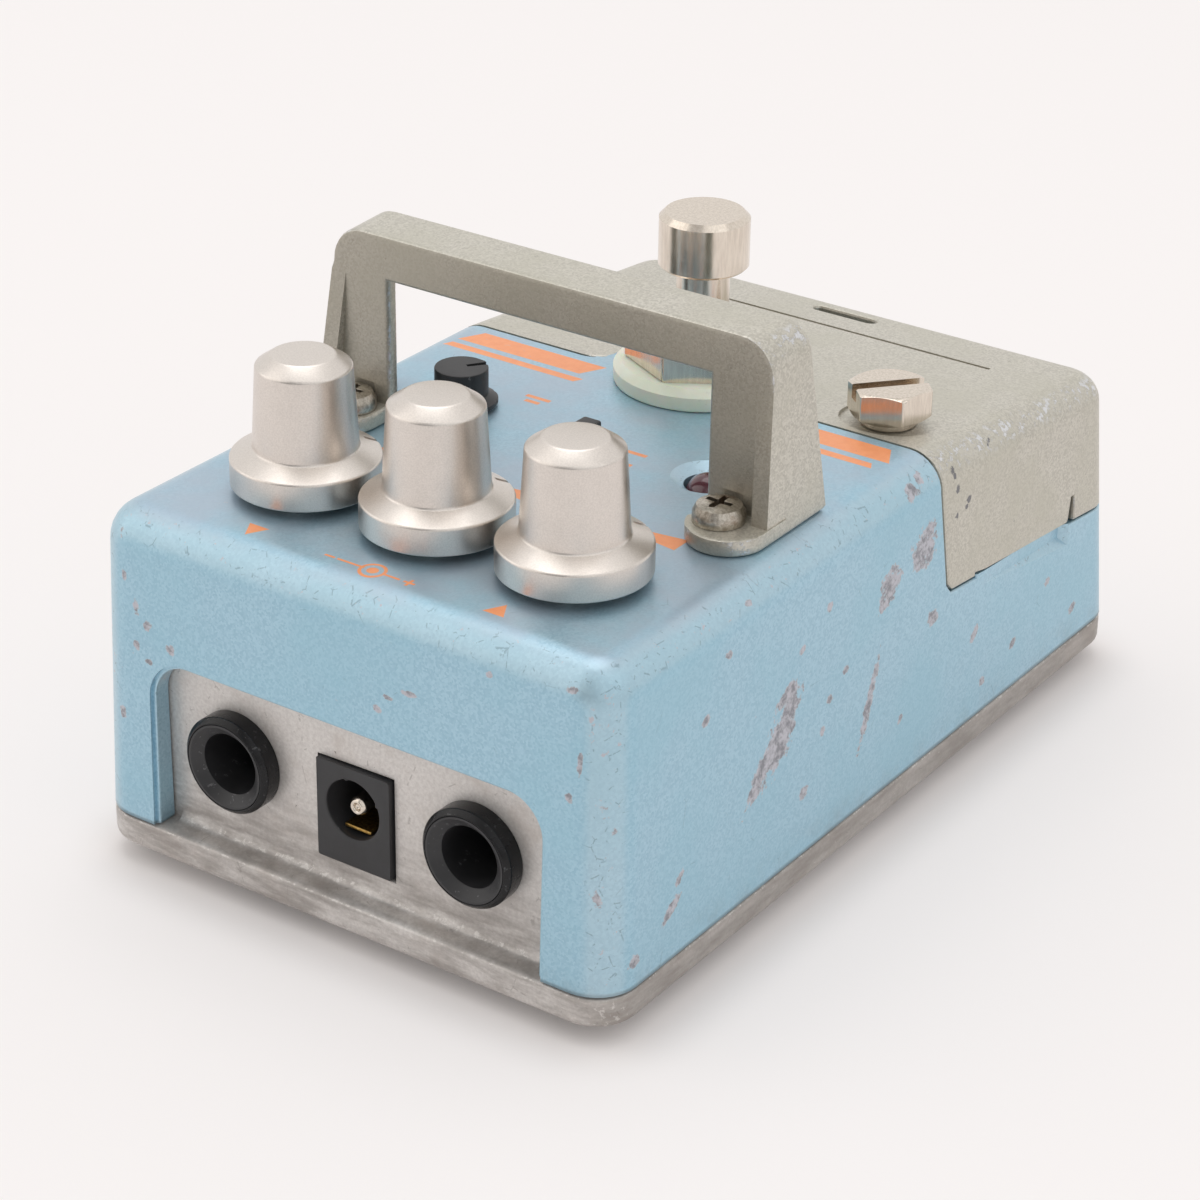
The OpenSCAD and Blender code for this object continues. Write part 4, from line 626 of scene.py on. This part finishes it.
def add(made, name, body, slot, smooth):
    """Turn a bmesh into a piece that rides on a body and wears a slot's look."""
    mesh = bpy.data.meshes.new(name)
    made.to_mesh(mesh)
    made.free()
    for layer in ("custom_normal", "sharp_edge", "sharp_face"):
        if layer in mesh.attributes:
            mesh.attributes.remove(mesh.attributes[layer])
    mesh.materials.clear()
    mesh.materials.append(LOOKS[slot].mat)
    mesh.polygons.foreach_set("material_index", [0] * len(mesh.polygons))
    mesh.shade_smooth()
    mesh.set_sharp_from_angle(angle=math.radians(smooth))
    piece = bpy.data.objects.new(name, mesh)
    bpy.context.scene.collection.objects.link(piece)
    flat = piece.modifiers.new("flat_faces", "WEIGHTED_NORMAL")
    flat.keep_sharp = True
    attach(piece, body)
    return piece


SLOT_OF = {n: o.data.materials[0].name for n, o in NODES.items()}


def stand_in(made, node, smooth):
    """A piece in a node's place, with its look."""
    piece = add(made, node + "_finish", BODY_OF[node], SLOT_OF[node], smooth)
    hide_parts(node)
    return piece


def dress(node, width, smooth):
    """A copy of a node with softened edges and its own look, in the node's place."""
    made = tidy(node)
    if width:
        made = soften(made, width)
    return stand_in(made, node, smooth)


SOFT_EDGES = {
    "housing": 0.2, "base_plate": 0.2, "handle": 0.5, "battery_cover": 0.3, "rubber_feet": 0.3,
    "base_screws": 0.1, "handle_screws": 0.12, "cover_screw": 0.18, "screw_clip": 0.1, "cover_insert": 0.15,
    "left_shaft": 0.2, "centre_shaft": 0.2, "right_shaft": 0.2,
    "left_pot": 0.3, "centre_pot": 0.3, "right_pot": 0.3, "pot_nuts": 0.2,
    "trim_knob": 0.15, "trim_shaft": 0.15, "trim_pot": 0.3, "slide_lever": 0.3, "slide_switch": 0.25,
    "led": 0.0, "led_leads": 0.0, "plunger_cap": 0.25, "plunger": 0.25,
    "footswitch_nut": 0.25, "footswitch_washer": 0.35, "footswitch_bushing": 0.3, "footswitch_lock_nut": 0.25,
    "footswitch_case": 0.5, "footswitch_spring": 0.0, "footswitch_lugs": 0.15, "switch_wires": 0.0,
    "input_jack": 0.0, "output_jack": 0.0, "jack_pins": 0.1,
    "dc_jack": 0.3, "dc_contact": 0.1,
    "circuit_board": 0.1, "chips": 0.2, "capacitors": 0.4, "battery": 1.2, "battery_snap": 0.8,
    "battery_leads": 0.0,
}
SMOOTH = {"housing": 20, "battery_cover": 12}
for name, width in SOFT_EDGES.items():
    dress(name, width, SMOOTH.get(name, 40))

# Knobs: turned top hats with a pointer cut in the skirt
KNOB = [
    (0, 13.4), (3.15, 13.4), (4.75, 12.3), (5.25, 3.85), (7.5, 2.85), (7.5, 0), (6.274, 0), (6.274, 2.6),
    (3.02, 2.6), (3.02, 11.4), (0, 11.4),
]
SKIRT_R, SKIRT_H = 7.5, 2.85
SKIRT_FALL = math.atan2(1.0, 2.25)
POINTER_TURN = math.radians(60)
NICK = (2.6, 0.6, 1.0)
POINTER = Matrix.Rotation(POINTER_TURN, 4, "Z") @ Matrix.Translation((SKIRT_R * MM, 0, SKIRT_H * MM))
POINTER = POINTER @ Matrix.Rotation(SKIRT_FALL, 4, "Y") @ Matrix.Translation((-0.3 * MM, 0, 0.2 * MM))
for node in ("left_knob", "centre_knob", "right_knob"):
    low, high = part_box(node)
    foot = Matrix.Translation(((low.x + high.x) / 2, (low.y + high.y) / 2, low.z))
    nick = bmesh.new()
    bmesh.ops.create_cube(nick, size=MM, matrix=foot @ POINTER @ Matrix.Diagonal((*NICK, 1)))
    stand_in(carved(turned(rounded(KNOB, 0.2), foot), nick), node, 30)

# Rings of the jacks, with rounded rims
BORE, RIM_R = 4.55, 5.2
RING = [(BORE, 0), (RIM_R, 0), (RIM_R, 1.8), (4.7, 2.3), (BORE, 2.3), (BORE, 0)]
low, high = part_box("jack_rings")
rings = bmesh.new()
for x in (low.x + RIM_R * MM, high.x - RIM_R * MM):
    foot = Matrix.Translation((x, high.y, (low.z + high.z) / 2)) @ Matrix.Rotation(math.pi / 2, 4, "X")
    one = turned(rounded(RING, 0.12)[:-1], foot)
    mesh = bpy.data.meshes.new("ring")
    one.to_mesh(mesh)
    rings.from_mesh(mesh)
    bpy.data.meshes.remove(mesh)
stand_in(rings, "jack_rings", 40)

# Power pin: rounded end with a centre mark
low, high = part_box("dc_pin")
r = (high.x - low.x) / 2 / MM
l = (high.y - low.y) / MM
end = Matrix.Translation(((low.x + high.x) / 2, low.y, (low.z + high.z) / 2))
end = end @ Matrix.Rotation(-math.pi / 2, 4, "X")
PIN = [(0, 0.5), (0.3 * r, 0.4), (0.45 * r, 0.05), (0.7 * r, 0), (r, 0.4 * r), (r, l), (0, l)]
stand_in(turned(rounded(PIN, 0.12), end, 48), "dc_pin", 40)

# Foam pad: a cut block, crowned on top and pulled in along its sides
low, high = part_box("foam_pad")
middle, half = (low + high) / 2, (high - low) / 2
WAIST, CROWN, CORNER = 0.05, 0.12, 0.03
foam = bmesh.new()
bmesh.ops.create_cube(foam, size=2.0)
bmesh.ops.subdivide_edges(foam, edges=foam.edges, cuts=15, use_grid_fill=True)
for v in foam.verts:
    u = [c ** 2 for c in v.co]
    pull = [
        1 - WAIST * (1 - u[1]) * u[0],
        1 - WAIST * (1 - u[0]) * u[1],
        1 - CROWN * max(u[0], u[1]) ** 4,
    ]
    round_off = 1 - CORNER * (u[0] * u[1] + u[1] * u[2] + u[2] * u[0])
    v.co = middle + Vector(c * h * p * round_off for c, h, p in zip(v.co, half, pull))
stand_in(foam, "foam_pad", 60)

# ---------------------------------------------------------------- stage, light and camera

floor_mesh = bpy.data.meshes.new("floor")
FLOOR = 6.0
corners = [(x * FLOOR, y * FLOOR, 0) for x, y in ((-1, -1), (1, -1), (1, 1), (-1, 1))]
floor_mesh.from_pydata(corners, [], [(0, 1, 2, 3)])
floor = bpy.data.objects.new("floor", floor_mesh)
bpy.context.scene.collection.objects.link(floor)
# Paper: seen, it glows a little, though not close to the foot of the object: a painted contact shadow round
# its foot
paper = Look("paper")
paper.tree.nodes.remove(paper.bsdf)
CORNER_R, FADE = 6.0, 7.0
GLOW = (0.08, 0.5)
FOOT = (31.5 - CORNER_R, 50.4 - CORNER_R, 0.0)
beyond = paper.vec("SUBTRACT", paper.vec("ABSOLUTE", paper.at), FOOT)
beyond = paper.vec("MAXIMUM", beyond)
far = paper.node("ShaderNodeVectorMath", {0: beyond}, operation="LENGTH").outputs["Value"]
ray = paper.node("ShaderNodeLightPath").outputs
seen = paper.most(ray["Is Camera Ray"], ray["Is Glossy Ray"], ray["Is Transmission Ray"])
# Painted shadow: the glow fades out near the foot of the object
share = paper.times(seen, paper.step(far, CORNER_R, CORNER_R + FADE, GLOW))
matte = paper.node("ShaderNodeBsdfDiffuse", {"Color": (0.90, 0.87, 0.862, 1)}).outputs[0]
glow = paper.node("ShaderNodeEmission", {"Color": (0.956, 0.922, 0.913, 1)}).outputs[0]
both = paper.node("ShaderNodeMixShader", {0: share, 1: matte, 2: glow}).outputs[0]
paper.feed(paper.tree.nodes["Material Output"].inputs["Surface"], both)
floor_mesh.materials.append(paper.mat)

# A pale room: bright behind the object and at its sides, dim on the near side
world = bpy.data.worlds.new("studio")
bpy.context.scene.world = world
world.use_nodes = True
tree = world.node_tree
sky = tree.nodes["Background"]
sky.inputs["Color"].default_value = (1.0, 0.985, 0.975, 1)
place = tree.nodes.new("ShaderNodeTexCoord")
facing = tree.nodes.new("ShaderNodeVectorMath")
facing.operation = "DOT_PRODUCT"
AWAY = (-0.566, 0.824, 0.0)
facing.inputs[1].default_value = AWAY
level = tree.nodes.new("ShaderNodeMapRange")
level.interpolation_type = "SMOOTHSTEP"
for key, value in {"From Min": -0.8, "From Max": 0.3, "To Min": 0.32, "To Max": 0.92}.items():
    level.inputs[key].default_value = value
tree.links.new(place.outputs["Generated"], facing.inputs[0])
tree.links.new(facing.outputs["Value"], level.inputs["Value"])
tree.links.new(level.outputs[0], sky.inputs["Strength"])


def lamp(name, place, aim, size, power, tint=(1, 1, 1)):
    data = bpy.data.lights.new(name, "AREA")
    data.shape = "DISK"
    data.size = size
    data.energy = power
    data.color = tint
    made = bpy.data.objects.new(name, data)
    made.location = place
    made.rotation_euler = (Vector(aim) - Vector(place)).to_track_quat("-Z", "Y").to_euler()
    bpy.context.scene.collection.objects.link(made)


lamp("overhead", (-0.2, 0.15, 0.95), (0, 0, 0.02), 0.7, 1.6)
lamp("right_front", (0.85, -0.35, 0.75), (0, 0, 0.02), 1.8, 4.4)
lamp("left_front", (-0.75, -0.75, 0.65), (0, 0, 0.02), 1.5, 3.2, (1.0, 0.95, 0.9))

# The camera that was fitted to the photograph: angles in degrees, place in mm
AZIMUTH, ELEVATION, ROLL = 34.487, 27.199, 0.893
EYE, LENS = (173.81, -259.96, 177.91), 99.54
a, e, r = (math.radians(d) for d in (AZIMUTH, ELEVATION, ROLL))
back = Vector((math.sin(a) * math.cos(e), -math.cos(a) * math.cos(e), math.sin(e)))
right = Vector((math.cos(a), math.sin(a), 0.0))
up = back.cross(right)
right, up = math.cos(r) * right + math.sin(r) * up, -math.sin(r) * right + math.cos(r) * up
eye = bpy.data.cameras.new("eye")
eye.sensor_fit = "HORIZONTAL"
eye.sensor_width = 36.0
eye.lens = LENS
eye.clip_start, eye.clip_end = 0.01, 20.0
camera = bpy.data.objects.new("eye", eye)
camera.matrix_world = Matrix((right, up, back)).transposed().to_4x4()
camera.location = Vector(EYE) * MM
bpy.context.scene.collection.objects.link(camera)
bpy.context.scene.camera = camera
bpy.context.scene.view_settings.view_transform = "Standard"
